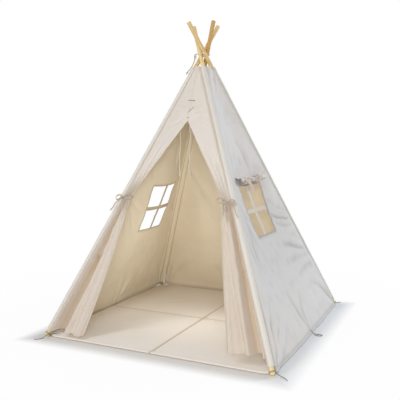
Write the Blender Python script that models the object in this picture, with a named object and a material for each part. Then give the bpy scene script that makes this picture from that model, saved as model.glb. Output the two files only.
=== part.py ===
"""Kids' teepee: four jointed wooden poles crossed and lashed at the top, a cotton cover
sewn to sleeves round the poles, tied-back door curtains, two windows with rolled-up
flaps, and a loose padded floor mat.

Metres, +Z up. The origin is on the floor under the crossing, and the doorway faces -Y.
Each leg's lower end stands at a corner of a square, and each leg swings in about a
level axis through the middle of the crossing, where the lashing cord runs."""

import math

import bmesh
import bpy
from mathutils import Matrix, Vector

# Poles and their crossing
BASE_WIDTH = 1.2
HUB_HEIGHT = 1.4475
CROSSING_OFFSET = 0.0193
POLE_PAST_CROSSING = 0.1824663
POLE_RADIUS = 0.011
POLE_CHAMFER = 0.0012
POLE_SECTIONS = 4
SECTION_GAP = 0.0005
FERRULE_LENGTH = 0.09
FERRULE_WALL = 0.0012
FIT_GAP = 0.0003
ROUND_SIDES = 16
LASHING_HOLE_RADIUS = 0.003

# Sleeves and the cover's cloth
SLEEVE_WALL = 0.0012
SLEEVE_START = 0.035
SLEEVE_SHORTFALL = 0.004
CLOTH_THICKNESS = 0.002
CLOTH_GAP = 0.0005
HEM_HEIGHT = 0.012
HEM_CORNER_RISE = 0.014
COVER_DROP = 0.0715
SIDE_SAG = 0.057
BACK_SAG = 0.04
WALL_EDGE_COLUMNS = 3
WALL_LOWER_ROWS = 4
WALL_UPPER_ROWS = 5
BACK_COLUMNS = 10
BACK_ROWS = 9
YOKE_COLUMNS = 6
YOKE_ROWS = 3

# Windows: an opening with a cloth cross in it, and the flap rolled up above
WINDOW_WIDTH = 0.26
WINDOW_SILL = 0.503
WINDOW_HEAD = 0.753
WINDOW_SHIFT = 0.03
WINDOW_BAR = 0.016
WINDOW_COLUMNS = 6
WINDOW_ROWS = 4
ROLL_RADIUS = 0.018
ROLL_OVERHANG = 0.022
ROLL_DROP = 0.036
ROLL_ROOM = 0.003
ROLL_END_SHARE = 0.55
ROLL_LUMP_SHARE = 0.07
ROLL_LUMP_TURN = 2.3
ROLL_RINGS = 12
ROLL_SIDES = 12
SEAM_RISE = 0.022
RIBBON_WIDTH = 0.013
RIBBON_THICKNESS = 0.001
RIBBON_TAIL = 0.07
RIBBON_INSET = 0.055
RIBBON_STEPS = 16
RIBBON_TAIL_STEPS = 4

# Door: the closed yoke above, and a curtain each side tied back to its pole
YOKE_HEIGHT = 0.292
TIE_HEIGHT = 0.69
CURTAIN_HEM_LEFT = 0.024
CURTAIN_HEM_RIGHT = 0.06
CURTAIN_THICKNESS = 0.003
CURTAIN_EDGE_COLUMNS = 2
CURTAIN_COLUMNS = 24
CURTAIN_UPPER_ROWS = 6
CURTAIN_LOWER_ROWS = 10
CURTAIN_FLAT_EDGE = 0.018
CURTAIN_TIE_WIDTH = 0.052
CURTAIN_HEM_WIDTH = 0.212
CURTAIN_TIE_DEPTH = 0.024
CURTAIN_HEM_DEPTH = 0.07
CURTAIN_PLEATS = 3
TIE_BACK_WIDTH = 0.014
TIE_BACK_THICKNESS = 0.0015
TIE_BACK_ROOM = 0.0012
TIE_BACK_CORNER = 0.004
TIE_BACK_STEPS = 4
TIE_BACK_FRONT_SHARES = (0, 0.35, 0.7)
TIE_BACK_REAR_SHARE = 0.7

# Floor mat: four quilted quarters in one cover
MAT_INSET = 0.003
MAT_CORNER = 0.06
MAT_EDGE = 0.008
MAT_SEAM = 0.006
MAT_CROWN = 0.009
MAT_BULGE = 0.003
MAT_DRAW = 0.004
MAT_LINE_SHARES = (0.0, 0.03, 0.09, 0.22, 0.4, 0.6, 0.78, 0.91, 0.97, 1.0)
CROWN_POWER = 4

# Cords
LASHING_DIAMETER = 0.0044
LASHING_DROP = 0.0005
LASHING_REACH = 0.0365
LASHING_MOUTH = 0.031
LASHING_BEND = 0.0075
LASHING_CENTRE = 0.0035
LASHING_STEPS = 3
LACE_DIAMETER = 0.004
LACE_SWAY_SHARE = 0.02
LACE_SHARES = (0, 0.12, 0.25, 0.4, 0.55, 0.7, 0.85, 1)
TIE_DIAMETER = 0.0035
KNOT_SCALE = 2.2
CORNER_TIE_TOP = 0.0225
CORNER_TIE_PITCH = 0.0055
CORNER_TIE_STEPS = 12
CORD_STEP_SHARE = 2.6
CORD_RESOLUTION = 2
SEAT_GAP = 0.0004
CUT_OVERRUN = 0.004

CORNERS = {
    "front_left": (-1, -1),
    "front_right": (1, -1),
    "back_right": (1, 1),
    "back_left": (-1, 1),
}
# Each face runs from its first leg to its second, which puts outside on its right.
FACES = {
    "front": ("front_left", "front_right", 0.0),
    "right": ("front_right", "back_right", SIDE_SAG),
    "back": ("back_right", "back_left", BACK_SAG),
    "left": ("back_left", "front_left", SIDE_SAG),
}
INWARD = Vector((0, 1, 0))
UP = Vector((0, 0, 1))
HUB = UP * HUB_HEIGHT

FERRULE_BORE = POLE_RADIUS + FIT_GAP
FERRULE_RADIUS = FERRULE_BORE + FERRULE_WALL
SLEEVE_BORE = FERRULE_RADIUS + FIT_GAP
SLEEVE_RADIUS = SLEEVE_BORE + SLEEVE_WALL
SKIN = SLEEVE_RADIUS + CLOTH_GAP
MAT_HALF = BASE_WIDTH / 2 - MAT_INSET
COVER_TOP = HUB_HEIGHT - COVER_DROP
DOOR_APEX = COVER_TOP - YOKE_HEIGHT


def finish(name, colour, roughness, metallic=0.0):
    material = bpy.data.materials.new(name)
    material.use_nodes = True
    shader = material.node_tree.nodes["Principled BSDF"]
    shader.inputs["Base Color"].default_value = (*colour, 1.0)
    shader.inputs["Roughness"].default_value = roughness
    shader.inputs["Metallic"].default_value = metallic
    return material


def place(name, mesh, material, location=Vector()):
    """Adds the mesh as an object whose origin is at location; its points are in world space."""
    mesh.transform(Matrix.Translation(-location))
    mesh.materials.append(material)
    obj = bpy.data.objects.new(name, mesh)
    obj.location = location
    bpy.context.scene.collection.objects.link(obj)
    return obj


def mesh_from(name, points, faces, smooth=True):
    """A closed mesh from points and faces, with its faces turned outwards."""
    shape = bmesh.new()
    corners = [shape.verts.new(point) for point in points]
    for face in faces:
        shape.faces.new([corners[index] for index in face])
    bmesh.ops.recalc_face_normals(shape, faces=shape.faces)
    mesh = bpy.data.meshes.new(name)
    shape.to_mesh(mesh)
    shape.free()
    if smooth:
        mesh.shade_smooth()
        mesh.set_sharp_from_angle(angle=math.radians(40))
    return mesh


# Legs: the line of each pole, from its foot to the crossing and past it


def side_of(corner):
    """The level direction that the leg's hinge axis runs in."""
    x, y = CORNERS[corner]
    return Vector((y, -x, 0)).normalized()


def leg_line(corner):
    """The foot of the leg's axis on the floor, and the direction of the leg."""
    x, y = CORNERS[corner]
    foot = Vector((x, y, 0)) * BASE_WIDTH / 2
    crossing = HUB + side_of(corner) * CROSSING_OFFSET
    return foot, (crossing - foot).normalized()


def leg_at(corner, height):
    foot, direction = leg_line(corner)
    return foot + direction * (height / direction.z)


def leg_start(corner, radius):
    """How far along the leg its square-cut end lies, so that the end's rim meets the floor."""
    _, direction = leg_line(corner)
    return radius * math.sqrt(1 - direction.z**2) / direction.z


def turned(name, corner, profile, ring, material):
    """A round piece on the leg's line. The profile is (distance along the leg, radius) and,
    where ring is set, closes on itself round a bore."""
    foot, direction = leg_line(corner)
    side = side_of(corner)
    side = (side - direction * side.dot(direction)).normalized()
    across = direction.cross(side)
    points = []
    for along, radius in profile:
        for step in range(ROUND_SIDES):
            turn = math.tau * step / ROUND_SIDES
            spoke = side * math.cos(turn) + across * math.sin(turn)
            points.append(foot + direction * along + spoke * radius)
    faces = []
    pairs = len(profile) if ring else len(profile) - 1
    for row in range(pairs):
        here = row * ROUND_SIDES
        there = (row + 1) % len(profile) * ROUND_SIDES
        for step in range(ROUND_SIDES):
            after = (step + 1) % ROUND_SIDES
            faces.append((here + step, here + after, there + after, there + step))
    if not ring:
        last = (len(profile) - 1) * ROUND_SIDES
        faces.append(range(ROUND_SIDES))
        faces.append(range(last, last + ROUND_SIDES))
    return place(name, mesh_from(name, points, faces), material, HUB)


def lashing_drill(corner):
    """The cutter for the hole that the lashing passes through, along the leg's hinge axis."""
    name = "drill_" + corner
    shape = bmesh.new()
    bmesh.ops.create_cone(
        shape,
        segments=ROUND_SIDES,
        cap_ends=True,
        radius1=LASHING_HOLE_RADIUS,
        radius2=LASHING_HOLE_RADIUS,
        depth=2 * (POLE_RADIUS + CUT_OVERRUN),
    )
    side = side_of(corner)
    turn = UP.rotation_difference(side).to_matrix().to_4x4()
    shape.transform(Matrix.Translation(HUB + side * CROSSING_OFFSET) @ turn)
    mesh = bpy.data.meshes.new(name)
    shape.to_mesh(mesh)
    shape.free()
    cutter = bpy.data.objects.new(name, mesh)
    cutter.hide_render = True
    cutter.display_type = "WIRE"
    bpy.context.scene.collection.objects.link(cutter)
    return cutter


def make_leg(corner, wood, metal, cotton):
    """The pole's sections, the ferrules over their joints, and the cloth sleeve round them."""
    start = leg_start(corner, POLE_RADIUS)
    _, direction = leg_line(corner)
    length = (HUB_HEIGHT / direction.z + POLE_PAST_CROSSING - start) / POLE_SECTIONS
    for index in range(POLE_SECTIONS):
        low = start + index * length + (SECTION_GAP / 2 if index else 0)
        high = start + (index + 1) * length - (SECTION_GAP / 2 if index < POLE_SECTIONS - 1 else 0)
        profile = (
            (low, POLE_RADIUS - POLE_CHAMFER if index else POLE_RADIUS),
            (low + POLE_CHAMFER, POLE_RADIUS),
            (high - POLE_CHAMFER, POLE_RADIUS),
            (high, POLE_RADIUS - POLE_CHAMFER),
        )
        section = turned(f"pole_{corner}_{index + 1}", corner, profile, False, wood)
        if index == POLE_SECTIONS - 1:
            hole = section.modifiers.new("lashing hole", "BOOLEAN")
            hole.object = lashing_drill(corner)
            hole.solver = "EXACT"
        if index:
            joint = start + index * length
            ends = (joint - FERRULE_LENGTH / 2, joint + FERRULE_LENGTH / 2)
            turned(f"ferrule_{corner}_{index}", corner, ring_profile(*ends, FERRULE_BORE, FERRULE_RADIUS),
                   True, metal)
    ends = (start + SLEEVE_START, (COVER_TOP - SLEEVE_SHORTFALL) / direction.z)
    turned("sleeve_" + corner, corner, ring_profile(*ends, SLEEVE_BORE, SLEEVE_RADIUS), True, cotton)


def ring_profile(low, high, bore, radius):
    return ((low, bore), (low, radius), (high, radius), (high, bore))


# The cover's faces: a surface between the outer sides of two sleeves


def half_width(face, height):
    first, second, _ = FACES[face]
    return (leg_at(second, height) - leg_at(first, height)).length / 2


def face_frame(face, along, height):
    """A point between the face's two pole lines, with the level direction and the outward one."""
    first, second, _ = FACES[face]
    start = leg_at(first, height)
    span = leg_at(second, height) - start
    share = 0.5 + along / span.length
    slopes = [leg_line(corner)[1] for corner in (first, second)]
    rise = (slopes[0] / slopes[0].z).lerp(slopes[1] / slopes[1].z, share)
    return start + span * share, span.normalized(), span.cross(rise).normalized(), share


def sag_at(face, share, height):
    """How far the cloth hangs in: nothing at the sleeves and the hems, most in the middle."""
    sag = FACES[face][2]
    across = max(0.0, 4 * share * (1 - share)) ** 1.5
    return sag * across * math.sin(math.pi * min(1.0, height / COVER_TOP))


def skin(face, along, height, out):
    """A point of the face's cloth, out from its inner side."""
    point, _, outward, share = face_frame(face, along, height)
    return point + outward * (SKIN + out - sag_at(face, share, height))


def sheet_solid(name, inner, outer, missing, material):
    """A closed sheet from two grids of points, its inner and its outer side. Cells listed
    in missing, as (row, column), are left open."""
    rows, columns = len(inner) - 1, len(inner[0]) - 1
    stride = columns + 1
    layer = (rows + 1) * stride
    cells = {(row, column) for row in range(rows) for column in range(columns)} - set(missing)
    grid = [point for line in inner for point in line] + [point for line in outer for point in line]
    faces = []
    for row, column in cells:
        a, b = row * stride + column, row * stride + column + 1
        c, d = b + stride, a + stride
        faces.append((a, b, c, d))
        faces.append((a + layer, d + layer, c + layer, b + layer))
        sides = (((row - 1, column), a, b), ((row, column + 1), b, c),
                 ((row + 1, column), c, d), ((row, column - 1), d, a))
        for neighbour, start, end in sides:
            if neighbour not in cells:
                faces.append((start, start + layer, end + layer, end))
    used = sorted({index for face in faces for index in face})
    order = {index: place_in for place_in, index in enumerate(used)}
    points = [grid[index] for index in used]
    faces = [[order[index] for index in face] for face in faces]
    return place(name, mesh_from(name, points, faces), material, HUB)


def face_sheet(name, face, lines, heights, missing, material, corner_rise=0.0):
    """A sheet on one face. lines gives, at a height, where the sheet's columns lie along it.
    The lowest row rises towards the corners by corner_rise."""
    inner, outer = [], []
    for row, height in enumerate(heights):
        half = half_width(face, height)
        inner_line, outer_line = [], []
        for along in lines(height):
            raised = height + (corner_rise * (along / half) ** 2 if row == 0 else 0)
            inner_line.append(skin(face, along, raised, 0))
            outer_line.append(skin(face, along, raised, CLOTH_THICKNESS))
        inner.append(inner_line)
        outer.append(outer_line)
    return sheet_solid(name, inner, outer, missing, material)


def steps(low, high, count):
    return [low + (high - low) * index / count for index in range(count + 1)]


def window_shift(face):
    """Both windows sit a little behind the middle of their wall."""
    return WINDOW_SHIFT if face == "right" else -WINDOW_SHIFT


def make_side_wall(face, cotton):
    shift = window_shift(face)
    near, far = shift - WINDOW_WIDTH / 2, shift + WINDOW_WIDTH / 2

    def lines(height):
        half = half_width(face, height)
        squeeze = min(1.0, half_width(face, height) / half_width(face, WINDOW_HEAD))
        left, right = near * squeeze, far * squeeze
        return (steps(-half, left, WALL_EDGE_COLUMNS)[:-1] + steps(left, right, WINDOW_COLUMNS)
                + steps(right, half, WALL_EDGE_COLUMNS)[1:])

    heights = (steps(HEM_HEIGHT, WINDOW_SILL, WALL_LOWER_ROWS)[:-1]
               + steps(WINDOW_SILL, WINDOW_HEAD, WINDOW_ROWS)
               + steps(WINDOW_HEAD, COVER_TOP, WALL_UPPER_ROWS)[1:])
    missing = [(WALL_LOWER_ROWS + row, WALL_EDGE_COLUMNS + column)
               for row in range(WINDOW_ROWS) for column in range(WINDOW_COLUMNS)]
    face_sheet("wall_" + face, face, lines, heights, missing, cotton, HEM_CORNER_RISE)


def make_window_bars(face, cotton):
    """The cloth cross that parts the window in four."""
    shift = window_shift(face)
    half = WINDOW_WIDTH / 2 - FIT_GAP
    middle = (WINDOW_SILL + WINDOW_HEAD) / 2
    columns = (steps(shift - half, shift - WINDOW_BAR / 2, 2)
               + steps(shift + WINDOW_BAR / 2, shift + half, 2))
    heights = (steps(WINDOW_SILL + FIT_GAP, middle - WINDOW_BAR / 2, 2)
               + steps(middle + WINDOW_BAR / 2, WINDOW_HEAD - FIT_GAP, 2))
    missing = [(row, column) for row in range(5) for column in range(5) if 2 not in (row, column)]
    face_sheet("window_bars_" + face, face, lambda height: columns, heights, missing, cotton)


def make_back_wall(cotton):
    def lines(height):
        half = half_width("back", height)
        return steps(-half, half, BACK_COLUMNS)

    heights = steps(HEM_HEIGHT, COVER_TOP, BACK_ROWS)
    face_sheet("wall_back", "back", lines, heights, (), cotton, HEM_CORNER_RISE)


def make_yoke(cotton):
    """The closed front above the doorway."""
    def lines(height):
        half = half_width("front", height)
        return steps(-half, half, YOKE_COLUMNS)

    face_sheet("front_yoke", "front", lines, steps(DOOR_APEX, COVER_TOP, YOKE_ROWS), (), cotton)


# Window flaps: each rolled up and tied above its window


def roll_height():
    return WINDOW_HEAD + ROLL_DROP


def roll_frame(face, along):
    """The centre of the rolled flap where it hangs off the wall, with its axis, outwards and up."""
    height = roll_height()
    on_wall = skin(face, along, height, CLOTH_THICKNESS)
    axis = skin(face, along + WINDOW_BAR, height, CLOTH_THICKNESS) - on_wall
    axis = (axis + on_wall - skin(face, along - WINDOW_BAR, height, CLOTH_THICKNESS)).normalized()
    outward = face_frame(face, along, height)[2]
    outward = (outward - axis * outward.dot(axis)).normalized()
    return on_wall + outward * (ROLL_ROOM + ROLL_RADIUS), axis, outward, outward.cross(axis)


def seam_point(face):
    """The middle of the sewn seam that the flap hangs from."""
    height = roll_height() + SEAM_RISE
    return skin(face, window_shift(face), height, CLOTH_THICKNESS)


def make_roll(face, cotton):
    """The rolled flap: uneven along its length, with drawn-in ends."""
    shift = window_shift(face)
    half = WINDOW_WIDTH / 2 + ROLL_OVERHANG
    points = []
    for ring in range(ROLL_RINGS + 1):
        along = shift - half + 2 * half * ring / ROLL_RINGS
        centre, _, outward, upward = roll_frame(face, along)
        end = ring in (0, ROLL_RINGS)
        swell = ROLL_END_SHARE if end else 1 - ROLL_LUMP_SHARE * (1 + math.sin(ROLL_LUMP_TURN * ring)) / 2
        for side in range(ROLL_SIDES):
            turn = math.tau * side / ROLL_SIDES
            ripple = 1 - ROLL_LUMP_SHARE * (1 + math.cos(3 * turn + ring)) / 2
            radius = ROLL_RADIUS * swell * ripple
            spoke = outward * math.cos(turn) + upward * math.sin(turn)
            points.append(centre + spoke * radius)
    faces = [range(ROLL_SIDES), range(ROLL_RINGS * ROLL_SIDES, (ROLL_RINGS + 1) * ROLL_SIDES)]
    for ring in range(ROLL_RINGS):
        for side in range(ROLL_SIDES):
            after = (side + 1) % ROLL_SIDES
            low, high = ring * ROLL_SIDES, (ring + 1) * ROLL_SIDES
            faces.append((low + side, low + after, high + after, high + side))
    name = "window_flap_" + face
    place(name, mesh_from(name, points, faces), cotton, seam_point(face))


def band(name, edges, thickness, material, location):
    """A flat ribbon between two edges, given as pairs of points, thickened both ways."""
    points = []
    for index, (low, high) in enumerate(edges):
        before = edges[max(0, index - 1)]
        after = edges[min(len(edges) - 1, index + 1)]
        forward = (after[0] + after[1] - before[0] - before[1]).normalized()
        normal = forward.cross(high - low).normalized() * thickness / 2
        points += [low - normal, high - normal, high + normal, low + normal]
    faces = [(0, 1, 2, 3), range(len(points) - 4, len(points))]
    for index in range(len(edges) - 1):
        here, there = 4 * index, 4 * (index + 1)
        for side in range(4):
            after = (side + 1) % 4
            faces.append((here + side, here + after, there + after, there + side))
    return place(name, mesh_from(name, points, faces, smooth=False), material, location)


def make_ribbon(face, name, along, cotton):
    """A ribbon once round the rolled flap, with one end hanging in front of the window."""
    reach = ROLL_RADIUS + FIT_GAP + RIBBON_THICKNESS
    drift = RIBBON_WIDTH + 2 * FIT_GAP + RIBBON_THICKNESS
    centre, axis, outward, _ = roll_frame(face, along)
    half = axis * RIBBON_WIDTH / 2
    tail_top = centre + outward * reach
    edges = []
    for step in range(RIBBON_TAIL_STEPS):
        point = tail_top - UP * RIBBON_TAIL * (1 - step / RIBBON_TAIL_STEPS)
        edges.append((point - half, point + half))
    for step in range(RIBBON_STEPS + 1):
        share = step / RIBBON_STEPS
        turn = math.tau * share
        centre, axis, outward, upward = roll_frame(face, along + drift * share)
        point = centre + (outward * math.cos(turn) + upward * math.sin(turn)) * reach
        half = axis * RIBBON_WIDTH / 2
        edges.append((point - half, point + half))
    band(name, edges, RIBBON_THICKNESS, cotton, seam_point(face))


# Door curtains: flat at the yoke, bunched at the tie-back, fanned out to the hem


def curtain_width(height):
    """From the pole's line to the curtain's free edge."""
    if height >= TIE_HEIGHT:
        share = (height - TIE_HEIGHT) / (DOOR_APEX - TIE_HEIGHT)
        top = half_width("front", DOOR_APEX) - CLOTH_GAP
        return CURTAIN_TIE_WIDTH + (top - CURTAIN_TIE_WIDTH) * share
    share = 1 - height / TIE_HEIGHT
    return CURTAIN_TIE_WIDTH + (CURTAIN_HEM_WIDTH - CURTAIN_TIE_WIDTH) * share**0.8


def curtain_depth(height):
    """How far in the pleats reach."""
    if height >= TIE_HEIGHT:
        share = (height - TIE_HEIGHT) / (DOOR_APEX - TIE_HEIGHT)
        return CURTAIN_TIE_DEPTH * (1 - share) ** 2
    share = 1 - height / TIE_HEIGHT
    return CURTAIN_TIE_DEPTH + (CURTAIN_HEM_DEPTH - CURTAIN_TIE_DEPTH) * share


def curtain_point(side, inset, height, depth):
    """A point at a distance from the pole's line towards the doorway, and inwards."""
    along = side * (half_width("front", height) - inset)
    return skin("front", along, height, 0) + INWARD * depth


def make_curtain(side, name, cotton):
    upper = steps(DOOR_APEX - CLOTH_GAP, TIE_HEIGHT, CURTAIN_UPPER_ROWS)
    hem = CURTAIN_HEM_RIGHT if side > 0 else CURTAIN_HEM_LEFT
    lower = steps(TIE_HEIGHT, hem, CURTAIN_LOWER_ROWS)
    inner, outer = [], []
    for height in upper + lower[1:]:
        width = curtain_width(height)
        flat = min(CURTAIN_FLAT_EDGE, width / 2)
        insets = steps(0, flat, CURTAIN_EDGE_COLUMNS)[:-1] + steps(flat, width, CURTAIN_COLUMNS)
        inner_line, outer_line = [], []
        for inset in insets:
            share = max(0.0, inset - flat) / (width - flat)
            wave = (1 - math.cos(math.tau * CURTAIN_PLEATS * share)) / 2
            depth = curtain_depth(height) * wave
            inner_line.append(curtain_point(side, inset, height, depth))
            outer_line.append(curtain_point(side, inset, height, depth - CURTAIN_THICKNESS))
        inner.append(inner_line)
        outer.append(outer_line)
    sheet_solid(name, inner, outer, (), cotton)


def make_tie_back(side, name, cotton):
    """A ribbon from the sleeve's front, round the bunched curtain, to the sleeve's back."""
    room = TIE_BACK_ROOM + TIE_BACK_THICKNESS / 2
    low, high = TIE_HEIGHT - TIE_BACK_WIDTH / 2, TIE_HEIGHT + TIE_BACK_WIDTH / 2
    front = -CURTAIN_THICKNESS - room
    back = curtain_depth(low) + room
    # Insets past the curtain's free edge, paired with depths, round the two corners.
    bend = []
    for centre, start in ((front + TIE_BACK_CORNER, -math.pi / 2), (back - TIE_BACK_CORNER, 0)):
        for step in range(TIE_BACK_STEPS + 1):
            turn = start + math.pi / 2 * step / TIE_BACK_STEPS
            past = room - TIE_BACK_CORNER + TIE_BACK_CORNER * math.cos(turn)
            bend.append((past, centre + TIE_BACK_CORNER * math.sin(turn)))
    edges = []
    for share in TIE_BACK_FRONT_SHARES:
        edges.append([curtain_point(side, share * curtain_width(height), height, front)
                      for height in (low, high)])
    for past, depth in bend:
        edges.append([curtain_point(side, curtain_width(height) + past, height, depth)
                      for height in (low, high)])
    for inset in (curtain_width(high) * TIE_BACK_REAR_SHARE, SKIN + room):
        edges.append([curtain_point(side, inset, height, back) for height in (low, high)])
    band(name, edges, TIE_BACK_THICKNESS, cotton, HUB)


# Floor mat


def mat_outline(across, up):
    """Maps a square from -1 to 1 onto the mat's plan, with round corners and drawn-in sides."""
    x, y = across * MAT_HALF, up * MAT_HALF
    flat = MAT_HALF - MAT_CORNER
    dx, dy = abs(x) - flat, abs(y) - flat
    if dx > 0 and dy > 0:
        share = max(dx, dy) / math.hypot(dx, dy)
        x = math.copysign(flat + dx * share, x)
        y = math.copysign(flat + dy * share, y)
    drawn_x = 1 - MAT_DRAW / MAT_HALF * max(0.0, 1 - up**2)
    drawn_y = 1 - MAT_DRAW / MAT_HALF * max(0.0, 1 - across**2)
    return x * drawn_x, y * drawn_y


def make_mat(cotton):
    lines = [share - 1 for share in MAT_LINE_SHARES] + [share for share in MAT_LINE_SHARES[1:]]
    count = len(lines)
    points, faces = [], []
    for up in lines:
        for across in lines:
            x, y = mat_outline(across, up)
            puff = 1.0
            for value in (across, up):
                middle = 2 * abs(value) - 1
                puff *= 1 - abs(middle) ** CROWN_POWER
            rim = max(abs(across), abs(up)) == 1
            points.append(Vector((x, y, MAT_EDGE if rim else MAT_SEAM + MAT_CROWN * puff)))
    for row in range(count - 1):
        for column in range(count - 1):
            first = row * count + column
            faces.append((first, first + 1, first + count + 1, first + count))
    edge = ([column for column in range(count)]
            + [row * count + count - 1 for row in range(1, count)]
            + [(count - 1) * count + column for column in range(count - 2, -1, -1)]
            + [row * count for row in range(count - 2, 0, -1)])
    previous = edge
    for height, grow in ((MAT_EDGE / 2, MAT_BULGE), (0.0, 0.0)):
        ring = []
        for index in edge:
            point = points[index]
            scale = 1 + grow / point.to_2d().length
            points.append(Vector((point.x * scale, point.y * scale, height)))
            ring.append(len(points) - 1)
        for step in range(len(edge)):
            after = (step + 1) % len(edge)
            faces.append((previous[step], previous[after], ring[after], ring[step]))
        previous = ring
    faces.append(previous)
    place("floor_mat", mesh_from("floor_mat", points, faces), cotton)


# Cords


def smooth_path(route, spacing):
    """Points along a smooth curve through the route's points."""
    path = [route[0].copy()]
    for index in range(len(route) - 1):
        start, end = route[index], route[index + 1]
        before = route[index - 1] if index else start * 2 - end
        after = route[index + 2] if index + 2 < len(route) else end * 2 - start
        count = max(1, math.ceil((end - start).length / spacing))
        for step in range(1, count + 1):
            t = step / count
            path.append(0.5 * (2 * start + (end - before) * t
                               + (2 * before - 5 * start + 4 * end - after) * t**2
                               + (3 * start - before - 3 * end + after) * t**3))
    return path


def make_cord(name, route, diameter, material, knot=False, location=HUB):
    """A cord through the route's points. A knot at its far end is a short thick stretch."""
    path = smooth_path([Vector(point) for point in route], diameter * CORD_STEP_SHARE)
    scales = [1.0] * len(path)
    if knot:
        scales[-2] = KNOT_SCALE
        scales[-3] = KNOT_SCALE
    curve = bpy.data.curves.new(name, "CURVE")
    curve.dimensions = "3D"
    curve.bevel_depth = diameter / 2
    curve.bevel_resolution = CORD_RESOLUTION
    curve.use_fill_caps = True
    spline = curve.splines.new("POLY")
    spline.points.add(len(path) - 1)
    for point, place_at, scale in zip(spline.points, path, scales):
        point.co = (*(place_at - location), 1.0)
        point.radius = scale
    curve.materials.append(material)
    cord = bpy.data.objects.new(name, curve)
    cord.location = location
    bpy.context.scene.collection.objects.link(cord)
    return cord


def lashing_route():
    """In through the front right pole, out through the front left, round the back, in through
    the back left pole, out through the back right, and round the front to where it began."""
    level = HUB - UP * LASHING_DROP
    side = {corner: side_of(corner) for corner in CORNERS}

    def arc(first, last, count):
        spread = first.angle(last)
        axis = first.cross(last).normalized()
        return [level + Matrix.Rotation(spread * step / count, 3, axis) @ first * LASHING_REACH
                for step in range(1, count)]

    def through(direction, distances):
        return [level + direction * distance for distance in distances]

    front_right, front_left = side["front_right"], side["front_left"]
    back_right, back_left = side["back_right"], side["back_left"]
    inwards = (LASHING_REACH, LASHING_MOUTH, LASHING_BEND)
    outwards = inwards[::-1]
    return (through(front_right, inwards) + [level + (front_right + front_left) * LASHING_CENTRE]
            + through(front_left, outwards) + arc(front_left, back_left, LASHING_STEPS)
            + through(back_left, inwards) + [level + (back_left + back_right) * LASHING_CENTRE]
            + through(back_right, outwards) + arc(back_right, front_right, LASHING_STEPS))


LASHING_TAIL = (
    (-0.0262, -0.0262, 1.4470),
    (-0.0284, -0.0284, 1.4469),
    (-0.0306, -0.0310, 1.4430),
    (-0.0330, -0.0337, 1.4320),
    (-0.0352, -0.0360, 1.4190),
    (-0.0385, -0.0390, 1.4040),
    (-0.0440, -0.0430, 1.3880),
    (-0.0530, -0.0475, 1.3720),
    (-0.0660, -0.0520, 1.3560),
    (-0.0760, -0.0550, 1.3400),
)
# Zigzag over the yoke's front: level dash, slanting dash, then the lower dash.
DOOR_LACE = ((-0.018, 1.189), (0.000, 1.1885), (0.018, 1.188), (0.027, 1.171), (0.022, 1.151),
             (0.001, 1.133), (-0.019, 1.116), (-0.022, 1.104), (-0.004, 1.098), (0.012, 1.097))
LACE_ENDS = {
    "lace_end_left": ((-0.0420, 1.043), 0.246),
    "lace_end_right": ((0.0104, 1.072), 0.282),
}


def make_door_laces(cord_finish):
    lift = CLOTH_THICKNESS + FIT_GAP + LACE_DIAMETER / 2
    route = [skin("front", along, height, lift) for along, height in DOOR_LACE]
    make_cord("door_lace", route, LACE_DIAMETER, cord_finish)
    for name, ((along, height), length) in LACE_ENDS.items():
        inset = half_width("front", height) - abs(along)
        top = curtain_point(math.copysign(1, along), inset, height, SEAT_GAP + LACE_DIAMETER / 2)
        sway = INWARD * length * LACE_SWAY_SHARE
        route = [top - UP * length * share + sway * math.sin(math.tau * share) for share in LACE_SHARES]
        make_cord(name, route, LACE_DIAMETER, cord_finish, knot=True)


# A tie's two ends: (outwards, sideways, height) from the leg's foot, in metres.
CORNER_TIE_ON_MAT = ((-0.0500, 0.0045, 0.0088), (-0.0430, 0.0058, 0.0092), (-0.0340, 0.0085, 0.0115),
                     (-0.0240, 0.0112, 0.0165))
CORNER_TIE_TAIL = ((-0.0020, 0.0150, 0.0125), (0.0080, 0.0205, 0.0085), (0.0170, 0.0270, 0.0050),
                   (0.0300, 0.0330, 0.0026), (0.0450, 0.0355, 0.0020), (0.0620, 0.0325, 0.0020))


def make_corner_tie(corner, cord_finish):
    """The tie from the mat's corner, once round the pole, its end lying on the floor outside."""
    foot, direction = leg_line(corner)
    x, y = CORNERS[corner]
    outward = Vector((x, y, 0)).normalized()
    side = side_of(corner)
    across = (side - direction * side.dot(direction)).normalized()
    forward = direction.cross(across)
    radius = POLE_RADIUS + SEAT_GAP + TIE_DIAMETER / 2

    def laid(ends):
        return [foot + outward * out - side * sideways + UP * height for out, sideways, height in ends]

    route = laid(CORNER_TIE_ON_MAT)
    for step in range(CORNER_TIE_STEPS + 1):
        share = step / CORNER_TIE_STEPS
        turn = math.pi - math.tau * share
        along = CORNER_TIE_TOP - CORNER_TIE_PITCH * share
        route.append(foot + direction * along + across * math.cos(turn) * radius
                     + forward * math.sin(turn) * radius)
    make_cord("corner_tie_" + corner, route + laid(CORNER_TIE_TAIL), TIE_DIAMETER, cord_finish)


# A stake loop's route: (out from the hem's foot, along the wall, height), in metres.
STAKE_LOOP = ((0.0005, 0.0000, 0.0225), (0.0021, 0.0002, 0.0182), (0.0052, 0.0008, 0.0120),
              (0.0110, 0.0030, 0.0066), (0.0230, 0.0095, 0.0028), (0.0370, 0.0130, 0.0020),
              (0.0500, 0.0095, 0.0020), (0.0560, 0.0010, 0.0020), (0.0510, -0.0070, 0.0020),
              (0.0390, -0.0105, 0.0020), (0.0260, -0.0080, 0.0024), (0.0160, -0.0048, 0.0036))


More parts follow.
